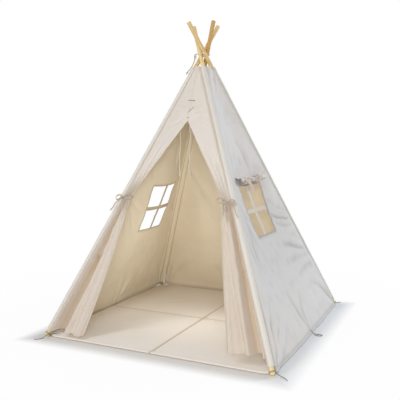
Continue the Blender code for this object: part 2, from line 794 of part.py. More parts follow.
def make_stake_loop(face, cord_finish):
    """The cord loop at the middle of a side wall's hem, for a peg."""
    hem = skin(face, 0, HEM_HEIGHT, CLOTH_THICKNESS)
    _, level, outward, _ = face_frame(face, 0, HEM_HEIGHT)
    flat = Vector((outward.x, outward.y, 0)).normalized()
    route = [(hem + flat * out + level * sideways) * Vector((1, 1, 0)) + UP * height
             for out, sideways, height in STAKE_LOOP]
    make_cord("stake_loop_" + face, route, TIE_DIAMETER, cord_finish)


def main():
    for obj in list(bpy.data.objects):
        bpy.data.objects.remove(obj)
    wood = finish("birch wood", (0.66, 0.47, 0.24), 0.55)
    metal = finish("zinc ferrule", (0.62, 0.63, 0.65), 0.35, 1.0)
    cotton = finish("natural cotton canvas", (0.76, 0.70, 0.63), 0.92)
    padding = finish("quilted cotton mat", (0.76, 0.69, 0.60), 0.9)
    cord_finish = finish("cotton cord", (0.74, 0.68, 0.58), 0.85)

    for corner in CORNERS:
        make_leg(corner, wood, metal, cotton)
        make_corner_tie(corner, cord_finish)
    for face in ("left", "right"):
        make_side_wall(face, cotton)
        make_window_bars(face, cotton)
        make_roll(face, cotton)
        make_stake_loop(face, cord_finish)
        reach = WINDOW_WIDTH / 2 - RIBBON_INSET
        front = -1 if face == "right" else 1
        for label, end in (("front", front), ("rear", -front)):
            along = window_shift(face) + end * reach - RIBBON_WIDTH / 2
            make_ribbon(face, f"flap_ribbon_{face}_{label}", along, cotton)
    make_back_wall(cotton)
    make_yoke(cotton)
    for side, label in ((-1, "left"), (1, "right")):
        make_curtain(side, "curtain_" + label, cotton)
        make_tie_back(side, "tie_back_" + label, cotton)
    make_mat(padding)
    make_cord("lashing_cord", lashing_route(), LASHING_DIAMETER, cord_finish)
    make_cord("lashing_tail", LASHING_TAIL, LASHING_DIAMETER, cord_finish, knot=True)
    make_door_laces(cord_finish)


main()
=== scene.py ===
"""Looks for the kids' teepee: canvas, quilted padding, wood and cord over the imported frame."""

import math

import bpy
import numpy as np
from mathutils import Matrix, Vector, noise


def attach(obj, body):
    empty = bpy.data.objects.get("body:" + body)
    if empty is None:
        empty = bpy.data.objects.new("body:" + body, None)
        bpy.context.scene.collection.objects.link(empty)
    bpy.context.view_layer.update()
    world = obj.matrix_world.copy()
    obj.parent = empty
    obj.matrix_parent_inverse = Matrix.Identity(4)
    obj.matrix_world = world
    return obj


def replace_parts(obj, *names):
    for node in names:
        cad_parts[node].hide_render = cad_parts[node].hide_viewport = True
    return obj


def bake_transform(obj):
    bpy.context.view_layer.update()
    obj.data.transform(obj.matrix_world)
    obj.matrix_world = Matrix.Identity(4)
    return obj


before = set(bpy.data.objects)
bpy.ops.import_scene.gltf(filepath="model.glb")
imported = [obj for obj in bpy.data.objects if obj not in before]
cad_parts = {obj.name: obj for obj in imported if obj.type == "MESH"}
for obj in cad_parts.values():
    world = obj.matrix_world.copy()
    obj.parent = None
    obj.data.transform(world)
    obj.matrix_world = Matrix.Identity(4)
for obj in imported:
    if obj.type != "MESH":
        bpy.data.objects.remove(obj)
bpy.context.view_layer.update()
bpy.context.scene.view_settings.view_transform = "Standard"

# Sizes that the frame was made from, in metres
BASE_WIDTH = 1.2
HUB_HEIGHT = 1.4475
CROSSING_OFFSET = 0.0193
POLE_LENGTH = 1.854
POLE_RADIUS = 0.011
POLE_SECTIONS = 4
SLEEVE_RADIUS = 0.014
SLEEVE_START = 0.035
SLEEVE_STOP_HEIGHT = 1.372
SKIN = 0.0145
CLOTH = 0.002
HEM_HEIGHT = 0.012
HEM_CORNER_RISE = 0.012
COVER_TOP = 1.376
SIDE_SAG = 0.062
BACK_SAG = 0.044
SAG_POWER = 1.2
WINDOW_WIDTH = 0.26
WINDOW_SILL = 0.503
WINDOW_HEAD = 0.753
WINDOW_SHIFT = 0.03
WINDOW_BAR = 0.016
ROLL_RADIUS = 0.018
ROLL_OVERHANG = 0.022
ROLL_DROP = 0.036
ROLL_ROOM = 0.003
DOOR_APEX = 1.084
TIE_HEIGHT = 0.69
CURTAIN_TIE_WIDTH = 0.052
CURTAIN_HEM_WIDTH = 0.212
CURTAIN_TIE_DEPTH = 0.024
CURTAIN_HEM_DEPTH = 0.07
MAT_HALF = 0.597
MAT_CORNER = 0.06
LASHING_DIAMETER = 0.0044
LASHING_DROP = 0.0005
LASHING_REACH = 0.0365
LACE_DIAMETER = 0.004
TIE_DIAMETER = 0.0035

# Sizes of what is drawn over it, in metres
HEM_BAND = 0.018
HEM_DROP = 0.0165
HEM_TUCK = 0.009
TOP_BAND = 0.012
WINDOW_BAND = 0.011
WINDOW_LIFT = 0.016
EDGE_INSET = 0.014
EDGE_DIP = 0.0105
FOLDED = 0.0008
NEAR_MARK = 0.0005
HEM_SEAMS = (0.004, 0.0155)
TOP_SEAM = 0.009
SLEEVE_SEAMS = (0.0165, 0.0205)
WINDOW_SEAMS = (0.002, 0.0085)
SEAM_LIFT = 0.0009
BACK_REACH = 0.12
ROW_PITCH = 0.0095
COLUMN_PITCH = 0.0105
SEAM_PITCH = 0.012
BLEND_WIDTH = 0.4
BAR_HALF = 0.00992
BAR_TUCK = 0.006
RIBBON_FROM_EDGE = 0.055
CURTAIN_HEMS = {-1: 0.024, 1: 0.06}
CURTAIN_BAND = 0.034
CURTAIN_FLAT = 0.018
LACE_END_DIAMETER = 0.0054
LASHING_KNOT_DIAMETER = 0.005
TAPE_WIDTH = 0.013
FRONT_PITCH = 0.0075
CURTAIN_HEM = 0.03
ROLL_CORE = 0.0035
FLAP_LENGTH = 0.27
FLAP_SEAM_RISE = 0.022
MAT_SEAM_HEIGHT = 0.0055
MAT_SEAM_DIP = 0.0012
MAT_PUFF = 0.0088
MAT_EDGE_HEIGHT = 0.0085
MAT_RIM_HEIGHT = 0.0098
MAT_SEAM_APART = 0.0035

# Shares and counts of what is drawn over it
SLANT = 1.0825
CREASE_GAIN = 2.8
# Painted shade: how dark the walls' crease hollows and their sagging middle are painted
VALLEY_SHADE_GAIN = 58
VALLEY_SHADE_MOST = 0.33
SAG_SHADE = 0.16
WINDOW_DRAW = 0.1
SILL_RISE_SHARE = 0.7
TIE_BOW_SCALE = 1.35
UPRIGHT_SHARES = {"left": 1.0, "right": 1.5}
# Painted shade laid evenly over each window's cross of bars, darker on the left window
BAR_SHADES = {"left": 0.55, "right": 0.3}
# Painted shade on each pole's wood, deeper on the back poles
POLE_SHADES = {"back_left": 0.75, "back_right": 0.3, "front_left": 0.12, "front_right": 0.0}
ROLLED_SHARE = 0.86
ROLL_TURNS = 3.05
ROLL_ROWS = 92
ROLL_COLUMNS = 100
FRONT_COLUMNS = 96
MAT_CELLS = 176
STITCH_SHARE = 0.72
CORD_SIDES = 12
CORD_STEP_SHARE = 0.45
SEEDS = {"front": 3.1, "right": 17.4, "back": 29.8, "left": 41.3}

CORNERS = {"front_left": (-1, -1), "front_right": (1, -1), "back_right": (1, 1), "back_left": (-1, 1)}
FACES = {
    "front": ("front_left", "front_right", 0.0),
    "right": ("front_right", "back_right", SIDE_SAG),
    "back": ("back_right", "back_left", BACK_SAG),
    "left": ("back_left", "front_left", SIDE_SAG),
}
WINDOWED = ("left", "right")
SIDES = {-1: "left", 1: "right"}
INWARD = Vector((0, 1, 0))
UP = Vector((0, 0, 1))
HUB = UP * HUB_HEIGHT


def aimed(name, data, place, target):
    """Adds a camera or a lamp at a place, pointed at its target."""
    found = bpy.data.objects.new(name, data)
    found.location = place
    found.rotation_euler = (Vector(target) - Vector(place)).to_track_quat("-Z", "Y").to_euler()
    bpy.context.scene.collection.objects.link(found)
    return found


lens = bpy.data.cameras.new("camera")
lens.lens = 51.5
lens.sensor_width = 36
bpy.context.scene.camera = aimed("camera", lens, (1.3086, -2.8226, 0.9582), (-0.0213, 0.0, 0.6663))


# Materials: sockets with arithmetic, and one way to add any other node


class Wire:
    """An output of a node, on which arithmetic adds Math nodes."""

    def __init__(self, finish, socket):
        self.finish = finish
        self.socket = socket

    def maths(self, operation, *others):
        return self.finish.add("ShaderNodeMath", {"operation": operation}, dict(enumerate((self, *others))))

    def __add__(self, other):
        return self.maths("ADD", other)

    def __sub__(self, other):
        return self.maths("SUBTRACT", other)

    def __rsub__(self, other):
        return self.maths("MULTIPLY", -1.0) + other

    def __mul__(self, other):
        return self.maths("MULTIPLY", other)

    def __pow__(self, other):
        return self.maths("POWER", other)

    __radd__ = __add__
    __rmul__ = __mul__

    def wave(self, period):
        """A sine of this length."""
        return (self * (math.tau / period)).maths("SINE")

    def clamped(self):
        return self.maths("MINIMUM", 1.0).maths("MAXIMUM", 0.0)


class Finish:
    """A Principled material, built by adding nodes."""

    def __init__(self, name, roughness, metallic=0.0):
        self.material = bpy.data.materials.new(name)
        self.material.use_nodes = True
        self.tree = self.material.node_tree
        self.shader = self.tree.nodes["Principled BSDF"]
        self.set("Roughness", roughness)
        self.set("Metallic", metallic)

    def feed(self, socket, value):
        """Links a wire to an input, or gives the input a plain value."""
        if isinstance(value, Wire):
            self.tree.links.new(value.socket, socket)
        else:
            socket.default_value = value

    def set(self, name, value):
        self.feed(self.shader.inputs[name], value)

    def add(self, kind, settings, sockets, output=0):
        node = self.tree.nodes.new(kind)
        for name, value in settings.items():
            setattr(node, name, value)
        for key, value in sockets.items():
            self.feed(node.inputs[key], value)
        return Wire(self, node.outputs[output])

    def surface(self):
        """The piece's own UV map, which is in metres on every piece made here."""
        return self.add("ShaderNodeUVMap", {"uv_map": "metres"}, {})

    def place(self):
        return self.add("ShaderNodeTexCoord", {}, {}, "Object")

    def hollow(self):
        """The share of painted shade that the piece's own hollow attribute gives this spot, as in a fold or a
        seam.
        """
        return self.add("ShaderNodeAttribute", {"attribute_name": "hollow"}, {}, "Fac").clamped()

    def stretched(self, vector, *scale):
        return self.add("ShaderNodeMapping", {}, {"Vector": vector, "Scale": scale})

    def grain(self, vector, scale, detail=2.0, roughness=0.5):
        sockets = {"Vector": vector, "Scale": scale, "Detail": detail, "Roughness": roughness}
        return self.add("ShaderNodeTexNoise", {}, sockets, "Fac")

    def parts(self, vector):
        return [self.add("ShaderNodeSeparateXYZ", {}, {"Vector": vector}, axis) for axis in "XYZ"]

    def mix(self, share, first, second):
        """Mixes two colours, each a wire or as it reads on a screen."""
        first, second = [value if isinstance(value, Wire) else linear(value) for value in (first, second)]
        return self.add("ShaderNodeMix", {"data_type": "RGBA"}, {0: share, 6: first, 7: second}, 2)

    def bump(self, height, distance, strength):
        sockets = {"Height": height, "Distance": distance, "Strength": strength}
        self.set("Normal", self.add("ShaderNodeBump", {}, sockets))


def linear(colour):
    """A colour as it reads on a screen, from 11 to 255, in the numbers that a shader takes."""
    return (*(((value / 255 + 0.055) / 1.055) ** 2.4 for value in colour), 1.0)


def canvas(name, colour, shade, deep=(196, 168, 128)):
    """Plain-woven cotton: uneven yarns both ways, a faint weave, soft mottling, and painted shade:
    a deeper tone where the piece is marked as lying in a hollow, a seam or shade."""
    finish = Finish(name, 0.93)
    metres = finish.surface()
    u, v, _ = finish.parts(metres)
    mottle = finish.grain(metres, 9.0, 4.0, 0.6)
    warp = finish.grain(finish.stretched(metres, 420.0, 14.0, 1.0), 1.0)
    weft = finish.grain(finish.stretched(metres, 11.0, 380.0, 1.0), 1.0)
    yarns = warp * 0.5 + weft * 0.5
    weave = u.wave(0.0017) * v.wave(0.0017)
    share = (mottle * 0.55 + yarns * 0.6 - 0.1).clamped()
    finish.set("Base Color", finish.mix(finish.hollow(), finish.mix(share, shade, colour), deep))
    finish.set("Roughness", 0.86 + 0.12 * yarns)
    finish.set("Sheen Weight", 0.15)
    finish.set("Sheen Roughness", 0.6)
    finish.bump(yarns * 0.7 + weave * 0.12 + mottle * 0.8, 0.0009, 0.55)
    return finish.material


def wood(name):
    """Turned softwood: long grain, darker late-wood lines, a few small knots, and painted shade:
    a deeper tone on the poles that are marked with it."""
    finish = Finish(name, 0.5)
    metres = finish.surface()
    fine = finish.grain(finish.stretched(metres, 700.0, 7.0, 1.0), 1.0)
    rings = finish.grain(finish.stretched(metres, 90.0, 1.2, 1.0), 1.0, 1.0)
    line = (rings * 4.0).wave(1.0) * 0.5 + 0.5
    pale = finish.mix(fine, (248, 228, 176), (238, 210, 148))
    colours = finish.mix((line * 0.3 * fine).clamped(), pale, (214, 172, 100))
    colours = finish.mix(finish.hollow(), colours, (196, 142, 66))
    sockets = {"Vector": finish.stretched(metres, 14.0, 1.8, 1.0), "Scale": 1.0}
    knots = finish.add("ShaderNodeTexVoronoi", {}, sockets, "Distance")
    spot = (1.0 - knots * 12.0).clamped()
    finish.set("Base Color", finish.mix(spot * 0.5, colours, (160, 110, 60)))
    finish.set("Roughness", 0.42 + 0.2 * fine)
    finish.bump(fine * 0.6 + line * 0.3, 0.0004, 0.4)
    return finish.material


def braid(name, colour, shade, pitch):
    """Braided cotton cord: two crossing sets of strands."""
    finish = Finish(name, 0.9)
    u, v, _ = finish.parts(finish.surface())
    strands = ((u * 1.6 + v).wave(pitch) * (u * 1.6 - v).wave(pitch)) * 0.5 + 0.5
    fuzz = finish.grain(finish.surface(), 700.0, 3.0)
    finish.set("Base Color", finish.mix((strands * 0.7 + fuzz * 0.3).clamped(), shade, colour))
    finish.set("Sheen Weight", 0.2)
    finish.bump(strands + fuzz * 0.4, 0.0005, 0.8)
    return finish.material


def steel(name):
    """Zinc-plated tube, with fine scratches along it."""
    finish = Finish(name, 0.35, 1.0)
    scratches = finish.grain(finish.stretched(finish.place(), 60.0, 60.0, 900.0), 1.0, 3.0)
    finish.set("Base Color", finish.mix(scratches, (150, 152, 156), (190, 192, 196)))
    finish.set("Roughness", 0.28 + 0.2 * scratches)
    finish.bump(scratches, 0.0002, 0.3)
    return finish.material


# The deeper tone given to each canvas below is painted shade, laid on where a piece's hollow attribute marks
# a fold, a seam or a side in shade
CANVAS_OUT = canvas("canvas outside", (240, 232, 224), (226, 217, 208))
# The walls' outside: a slightly cooler copy of the outside canvas, painted cool shade, with a grey deeper
# tone for painted shade in its creases, sag and seams
WALL_OUT_COOL_SHADE = canvas("wall canvas outside, painted cool shade", (238, 233, 228), (223, 217, 211), (142, 140, 138))
# The tent's inner side: a warmer, yellower copy of the same cotton, painted warm shade for the light inside
# the tent
CANVAS_IN_WARM_SHADE = canvas("canvas inside, painted warm shade", (240, 229, 206), (230, 217, 192), (150, 132, 100))
# The sleeves: their grey deeper tone is painted shade, for the lines where the walls meet them and for the
# back right sleeve
SLEEVE_CANVAS = canvas("sleeve canvas", (240, 236, 229), (226, 220, 211), (150, 146, 140))
# The rolled flap: a lighter copy of the canvas, painted light, with a dark deeper tone for painted shade
# beneath its roll and between its turns
ROLL_CANVAS = canvas("rolled flap canvas", (248, 242, 234), (236, 228, 219), (126, 117, 108))
# The mat: its own white cover, with a warm deeper tone that is painted shade
MAT_CANVAS = canvas("mat canvas", (254, 250, 247), (248, 243, 238), (176, 146, 100))
TAPE = canvas("cotton tape", (216, 201, 183), (184, 168, 148))
ROLL_TAPE = canvas("roll tape", (238, 224, 211), (214, 198, 182))
CORD = braid("cotton cord", (246, 238, 222), (214, 202, 182), 0.003)
# The door lace and the lashing's tail: a darker copy of the cotton cord, painted shade
SHADED_CORD = braid("cotton cord in painted shade", (196, 182, 166), (152, 138, 122), 0.003)
TIE_CORD = braid("grey tie cord", (168, 162, 154), (112, 106, 100), 0.0026)
THREAD = braid("sewing thread", (226, 214, 196), (200, 186, 166), 0.0008)
WOOD = wood("turned pole wood")
STEEL = steel("zinc ferrule steel")


# Small sums that the shapes share


def steps(low, high, count):
    return [low + (high - low) * index / count for index in range(count + 1)]


def turns(count):
    """The equal steps of a whole turn."""
    return [math.tau * step / count for step in range(count)]


def spaced(marks, pitch):
    """Values that pass through each mark, about a pitch apart."""
    line = [marks[0]]
    for low, high in zip(marks, marks[1:]):
        line += steps(low, high, max(1, round(abs(high - low) / pitch)))[1:]
    return line


def ease(value):
    """A smooth rise from 0 to 1."""
    value = min(1.0, max(0.0, value))
    return value * value * (3 - 2 * value)


def bell(value, spread, power=2):
    """A smooth hump, 1 in its middle, that fades past the spread on both sides."""
    return math.exp(-(value / spread) ** power)


def rough(x, y, z):
    """Smooth unevenness, from -1 to 1."""
    return noise.noise(Vector((x, y, z)))


def beside(x, y, line):
    """Where a point lies by a line from one place to another: its share along, and how far aside."""
    x0, y0, x1, y1 = line
    run_x, run_y = x1 - x0, y1 - y0
    length = math.hypot(run_x, run_y)
    share = ((x - x0) * run_x + (y - y0) * run_y) / length**2
    return share, ((x - x0) * run_y - (y - y0) * run_x) / length


def square_to(direction, vector):
    """The part of a vector that is square to a direction, one long."""
    return (vector - direction * vector.dot(direction)).normalized()


def offset(point, ways, amounts):
    """The point moved along several ways, each by its amount."""
    for way, amount in zip(ways, amounts):
        point = point + way * amount
    return point


def round_spot(first, second, turn):
    """A spot on the circle of one long through two directions, which start at turn 0 and a quarter."""
    return first * math.cos(turn) + second * math.sin(turn)


# The legs and the cover's faces, as the frame has them


def side_of(corner):
    x, y = CORNERS[corner]
    return Vector((y, -x, 0)).normalized()


def leg_line(corner):
    """A leg's foot, and the way it runs to its place in the crossing."""
    x, y = CORNERS[corner]
    foot = Vector((x, y, 0)) * BASE_WIDTH / 2
    crossing = HUB + side_of(corner) * CROSSING_OFFSET
    return foot, (crossing - foot).normalized()


def leg_frame(corner):
    """A leg's foot, the way it runs, and two ways square to it."""
    foot, direction = leg_line(corner)
    side = square_to(direction, side_of(corner))
    return foot, direction, side, direction.cross(side)


def leg_tube(corner, rings, sides, reach):
    """Rings of points round a leg, as far from its line as reach says for each place and turn."""
    foot, direction, side, across = leg_frame(corner)
    return [foot + direction * along + round_spot(side, across, turn) * reach(along, turn)
            for along in rings for turn in turns(sides)]


def leg_at(corner, height):
    foot, direction = leg_line(corner)
    return foot + direction * (height / direction.z)


def leg_start(radius):
    direction = leg_line("front_left")[1]
    return radius * math.sqrt(1 - direction.z**2) / direction.z


def half_width(face, height):
    first, second, _ = FACES[face]
    return (leg_at(second, height) - leg_at(first, height)).length / 2


def face_frame(face, along, height):
    """A point between a face's two legs, the ways along and out from it, and its share across."""
    first, second, _ = FACES[face]
    start = leg_at(first, height)
    span = leg_at(second, height) - start
    share = 0.5 + along / span.length
    slopes = [leg_line(corner)[1] for corner in (first, second)]
    rise = (slopes[0] / slopes[0].z).lerp(slopes[1] / slopes[1].z, share)
    return start + span * share, span.normalized(), span.cross(rise).normalized(), share


def skin(face, along, height, out):
    """A point out from the frame's plain wall, which sags between its legs."""
    point, _, outward, share = face_frame(face, along, height)
    across = max(0.0, 4 * share * (1 - share)) ** SAG_POWER
    sag = FACES[face][2] * across * math.sin(math.pi * min(1.0, height / COVER_TOP))
    return point + outward * (SKIN + out - sag)


def corner_at(face, end):
    """The corner that a face ends at: its first one at -1, its second one at 1."""
    return FACES[face][0 if end < 0 else 1]


# Mesh making


def cells_apart(table):
    """Rows of cells, each a point, its flat place and its share of painted shade, as three tables."""
    return [[[cell[part] for cell in line] for line in table] for part in range(3)]


def add_mesh(name, points, faces, uvs, materials, slots=None, sharp=50, hollow=None):
    """A smooth mesh. uvs holds one place in metres for each corner of each face; hollow gives each
    point its share of painted shade, as deep in a fold or seam."""
    mesh = bpy.data.meshes.new(name)
    mesh.from_pydata([tuple(point) for point in points], [], [tuple(face) for face in faces])
    layer = mesh.uv_layers.new(name="metres")
    layer.data.foreach_set("uv", np.asarray(uvs, np.float32).ravel())
    for material in materials:
        mesh.materials.append(material)
    if slots is not None:
        mesh.polygons.foreach_set("material_index", np.asarray(slots, np.int32))
    mesh.shade_smooth()
    mesh.set_sharp_from_angle(angle=math.radians(sharp))
    if hollow is not None:
        marks = mesh.attributes.new("hollow", "FLOAT", "POINT")
        marks.data.foreach_set("value", np.asarray(hollow, np.float32))
    piece = bpy.data.objects.new(name, mesh)
    bpy.context.scene.collection.objects.link(piece)
    return piece


def dress(piece, body, slot, *replaced):
    """Says which body a piece moves with, and the frame's nodes that it stands for; slot is not used."""
    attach(piece, body)
    if replaced:
        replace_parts(piece, *replaced)


def cloth(name, grid, places, outward, thickness, outside, inside=None, missing=None, hollow=None,
          painted_shade_inside=None):
    """A sheet with both its sides, from a grid of points on its outer side. places gives each
    point's place on the flat cloth in metres; outward says which side is the outer one; hollow
    gives each point its share of painted shade, as in a fold or seam, on both sides unless a
    second table is given for the inner side; missing marks the cells left open."""
    grid = np.asarray([[tuple(point) for point in line] for line in grid], float)
    rows, columns = grid.shape[:2]
    normal = np.cross(np.gradient(grid, axis=1), np.gradient(grid, axis=0))
    normal /= np.maximum(np.linalg.norm(normal, axis=2, keepdims=True), 1e-12)
    flip = normal.reshape(-1, 3).mean(0) @ np.asarray(outward, float) < 0
    if flip:
        normal = -normal
    points = np.concatenate([grid.reshape(-1, 3), (grid - normal * thickness).reshape(-1, 3)])
    size = rows * columns
    if missing is None:
        missing = np.zeros((rows - 1, columns - 1), bool)
    faces, slots = [], []
    for row, column in np.argwhere(~missing).tolist():
        first = row * columns + column
        quad = (first, first + 1, first + columns + 1, first + columns)
        panels = [(quad, 0), (tuple(index + size for index in quad)[::-1], 1)]
        nearby = ((row - 1, column), (row, column + 1), (row + 1, column), (row, column - 1))
        for side, (near_row, near_column) in enumerate(nearby):
            within = 0 <= near_row < rows - 1 and 0 <= near_column < columns - 1
            if not within or missing[near_row, near_column]:
                start, end = quad[side], quad[(side + 1) % 4]
                panels.append(((start, start + size, end + size, end), 1))
        for panel, slot in panels:
            faces.append(panel[::-1] if flip else panel)
            slots.append(slot)
    faces = np.asarray(faces)
    used = np.unique(faces)
    order = np.full(len(points), -1)
    order[used] = np.arange(len(used))
    uvs = np.concatenate([np.asarray(places, float).reshape(-1, 2)] * 2)[faces.ravel()]
    if hollow is not None:
        both = [np.ravel(hollow), np.ravel(hollow if painted_shade_inside is None else painted_shade_inside)]
        hollow = np.concatenate(both)[used]
    return add_mesh(name, points[used], order[faces], uvs, [outside, inside or outside], slots, hollow=hollow)


def wrapped(runs, radius, sides):
    """The faces and flat places of a tube, whose rings of points lie at these runs along it."""
    faces, uvs = [], []
    for ring, (near, far) in enumerate(zip(runs, runs[1:])):
        for step in range(sides):
            low, after = ring * sides, (step + 1) % sides
            faces.append((low + step, low + after, low + sides + after, low + sides + step))
            u0, u1 = (math.tau * radius * value / sides for value in (step, step + 1))
            uvs += [(u0, near), (u1, near), (u1, far), (u0, far)]
    return faces, uvs


def smooth_path(route, spacing):
    """Points on one smooth curve through the route's points, no further apart than the spacing."""
    route = [Vector(point) for point in route]
    path = [route[0].copy()]
    for index in range(len(route) - 1):
        start, end = route[index], route[index + 1]
        before = route[index - 1] if index else start * 2 - end
        after = route[index + 2] if index + 2 < len(route) else end * 2 - start
        count = max(1, math.ceil((end - start).length / spacing))
        for step in range(1, count + 1):
            t = step / count
            path.append(0.5 * (2 * start + (end - before) * t
                               + (2 * before - 5 * start + 4 * end - after) * t**2
                               + (3 * start - before - 3 * end + after) * t**3))
    return path


def length_of(path):
    return sum((after - before).length for before, after in zip(path, path[1:]))


def cord_piece(name, route, diameter, material, knot=False):
    """A three-strand cord with tapered ends, whose centreline follows the route."""
    path = smooth_path(route, diameter * CORD_STEP_SHARE)
    last = len(path) - 1
    radius = diameter / 2
    points, runs = [], []
    spoke = (path[1] - path[0]).normalized().orthogonal().normalized()
    run = 0.0
    for index, point in enumerate(path):
        forward = (path[min(last, index + 1)] - path[max(0, index - 1)]).normalized()
        spoke = square_to(forward, spoke)
        run += (point - path[max(0, index - 1)]).length
        runs.append(run)
        shape = {0: 0.72, 1: 0.93}.get(min(index, last - index), 1.0)
        if knot:
            from_end = (last - index) * CORD_STEP_SHARE - 2.4
            shape *= 1 + 0.75 * bell(from_end, 1.1, 4)
        for turn in turns(CORD_SIDES):
            lay = 1 + 0.1 * math.cos(3 * turn - 1.68 * run / diameter)
            points.append(point + round_spot(spoke, forward.cross(spoke), turn) * radius * shape * lay)
    faces, uvs = wrapped(runs, radius, CORD_SIDES)
    for ring, order in ((0, -1), (last, 1)):
        faces.append([ring * CORD_SIDES + side for side in range(CORD_SIDES)][::order])
        uvs += [(radius * math.cos(turn), runs[ring] + radius * math.sin(turn)) for turn in turns(CORD_SIDES)]
    return add_mesh(name, points, faces, uvs, [material], sharp=60), path


# Relief: soft folds, tension creases and the small unevenness of cloth that has been packed away.
# A crease is (along, height) at its start and its end, then its half width and its depth, in millimetres.

CREASES = {
    "right": (
        (-300, 690, -120, 430, 16, -6), (-300, 680, -205, 360, 14, -5), (-300, 700, -110, 600, 12, -4),
        (-305, 670, -270, 430, 12, 4), (330, 545, 70, 640, 12, -6.5), (335, 575, 100, 690, 11, 4),
        (345, 520, 120, 560, 13, -4), (400, 380, 80, 440, 22, -5), (440, 300, 20, 300, 28, 5),
        (-560, 40, -330, 270, 20, -6), (-555, 30, -240, 140, 18, 4.5), (-540, 50, -420, 400, 20, 4.5),
        (570, 40, 320, 210, 20, -5.5), (565, 60, 420, 330, 18, 5), (-110, 810, -60, 1120, 16, -3.5),
        (100, 810, 50, 1050, 18, -3.5), (10, 810, 0, 960, 16, 3), (20, 1370, -40, 1120, 12, 3),
        (0, 30, -60, 260, 20, -4.5), (0, 30, 90, 200, 20, -4),
    ),
    "left": (
        (300, 690, 120, 430, 16, -5.5), (300, 700, 110, 620, 13, 4), (-330, 545, -120, 640, 13, -5),
        (560, 40, 330, 270, 22, -5.5), (540, 50, 400, 400, 20, 4), (-570, 40, -320, 210, 22, -5.5),
        (-565, 60, -420, 330, 18, 4.5), (110, 810, 60, 1120, 16, -3.5), (-100, 810, -50, 1050, 18, -3.5),
        (0, 30, 60, 260, 22, -5), (0, 30, -90, 200, 20, -4),
    ),
    "back": (
        (570, 40, 260, 300, 22, -6), (560, 50, 380, 450, 20, 4.5), (-570, 40, -290, 260, 22, -6),
        (-560, 50, -400, 420, 20, 4.5), (240, 850, 20, 500, 30, -4.5), (-240, 850, -60, 560, 28, 4.5),
        (30, 1360, 10, 900, 18, -3.5), (-20, 1360, -60, 1000, 14, 3), (80, 30, 120, 320, 24, -4.5),
        (-180, 30, -120, 360, 26, 4.5),
    ),
    "front": (
        (30, 1088, 150, 1120, 7, -3), (28, 1078, 135, 1070, 6, 2.6), (20, 1100, 120, 1165, 8, -2.4),
        (-20, 1100, -130, 1060, 8, -2.2), (-30, 1140, -110, 1190, 10, 2.2), (-290, 720, -130, 1000, 10, -3),
        (-300, 740, -190, 960, 9, 2.6), (290, 720, 150, 990, 10, -3), (300, 740, 205, 960, 9, 2.6),
        (10, 1370, 30, 1220, 8, -1.8),
    ),
}
# How often the cloth is uneven in a metre, and by how much
UNEVEN = ((3.4, 0.01), (8.5, 0.006), (23, 0.0022))


def relief(face, along, height):
    """How far the cloth stands out from the frame's plain surface here."""
    inset = half_width(face, height) - abs(along)
    spot = Vector((along, height * 1.08, SEEDS[face]))
    total = sum(noise.noise(spot * often) * depth for often, depth in UNEVEN)
    total *= ease((inset - EDGE_INSET) / 0.07)
    for crease in CREASES[face]:
        *line, width, depth = (value / 1000 for value in crease)
        share, aside = beside(along, height, line)
        spread = width * (0.55 + 0.9 * min(1.0, max(0.0, share)))
        if not -0.3 < share < 1.3 or abs(aside) > 3.5 * spread:
            continue
        taper = ease((share + 0.06) / 0.16) * ease((1.15 - share) / 0.75)
        bow = aside + 0.012 * math.sin(share * 4.1 + line[0] * 37)
        ridge = bell(bow, spread) - 0.45 * bell(bow, 2 * spread)
        total += CREASE_GAIN * depth * taper * ridge * ease((inset - EDGE_INSET + 0.004) / 0.03)
    if face in WINDOWED:
        # the window's band and the roll above it hold the cloth flatter
        from_middle = abs(along - window_shift(face))
        aside = max(from_middle - 0.09, abs(height - 0.635) - 0.09, 0.0)
        total *= 0.35 + 0.65 * ease(aside / 0.06)
        from_roll = abs(height - WINDOW_HEAD - 0.05)
        if from_roll < 0.08:
            clear = ease((from_middle - WINDOW_WIDTH / 2 - 0.02) / 0.04)
            total *= 0.2 + 0.8 * max(0.0, (from_roll - 0.05) / 0.03, clear)
    return total


def hem_lift(face, along, height):
    """The hem rises towards the corners, as the frame's does."""
    raised = HEM_CORNER_RISE * (along / half_width(face, HEM_HEIGHT)) ** 6 - HEM_DROP
    return raised * ease(1 - (height - HEM_HEIGHT) / 0.12)


def cloth_point(face, along, height, out):
    """A point of the draped cloth, out from the middle of the plain cloth's inner side."""
    inset = half_width(face, height) - abs(along)
    above_hem = height - HEM_HEIGHT
    dip = EDGE_DIP * ease(1 - (inset - EDGE_INSET) / 0.014)
    ripple = 0.005 * rough(along * 7, SEEDS[face], 0) + 0.002 * rough(along * 24, SEEDS[face], 4)
    stand = relief(face, along, height) * (0.5 + 0.5 * ease(above_hem / 0.1)) - dip
    stand += ripple * ease(1 - above_hem / 0.2) * ease(inset / 0.1)
    stand -= HEM_TUCK * ease(1 - above_hem / 0.045) * ease(inset / 0.08)
    point = skin(face, along, height + hem_lift(face, along, height), out + stand)
    point.z = max(point.z, 0.001)
    return point


def window_shift(face):
    return WINDOW_SHIFT if face == "right" else -WINDOW_SHIFT


def window_heights(face):
    """The sill and head of the opening as it hangs: the right one is pulled up to its roll."""
    rise = WINDOW_LIFT if face == "right" else 0.0
    return WINDOW_SILL + rise * SILL_RISE_SHARE, WINDOW_HEAD + rise


def window_reach(face, end):
    """How far the opening reaches from the wall's middle line towards that end."""
    return WINDOW_WIDTH / 2 + end * window_shift(face)


def drawn(face, height):
    """How far the cloth is drawn in across the window: by the wall's slant, and below the head more."""
    sill, head = window_heights(face)
    taper = 1 - WINDOW_DRAW * min(1.0, max(0.0, (head - height) / (head - sill)))
    return min(1.0, half_width(face, height) / half_width(face, head)) * taper


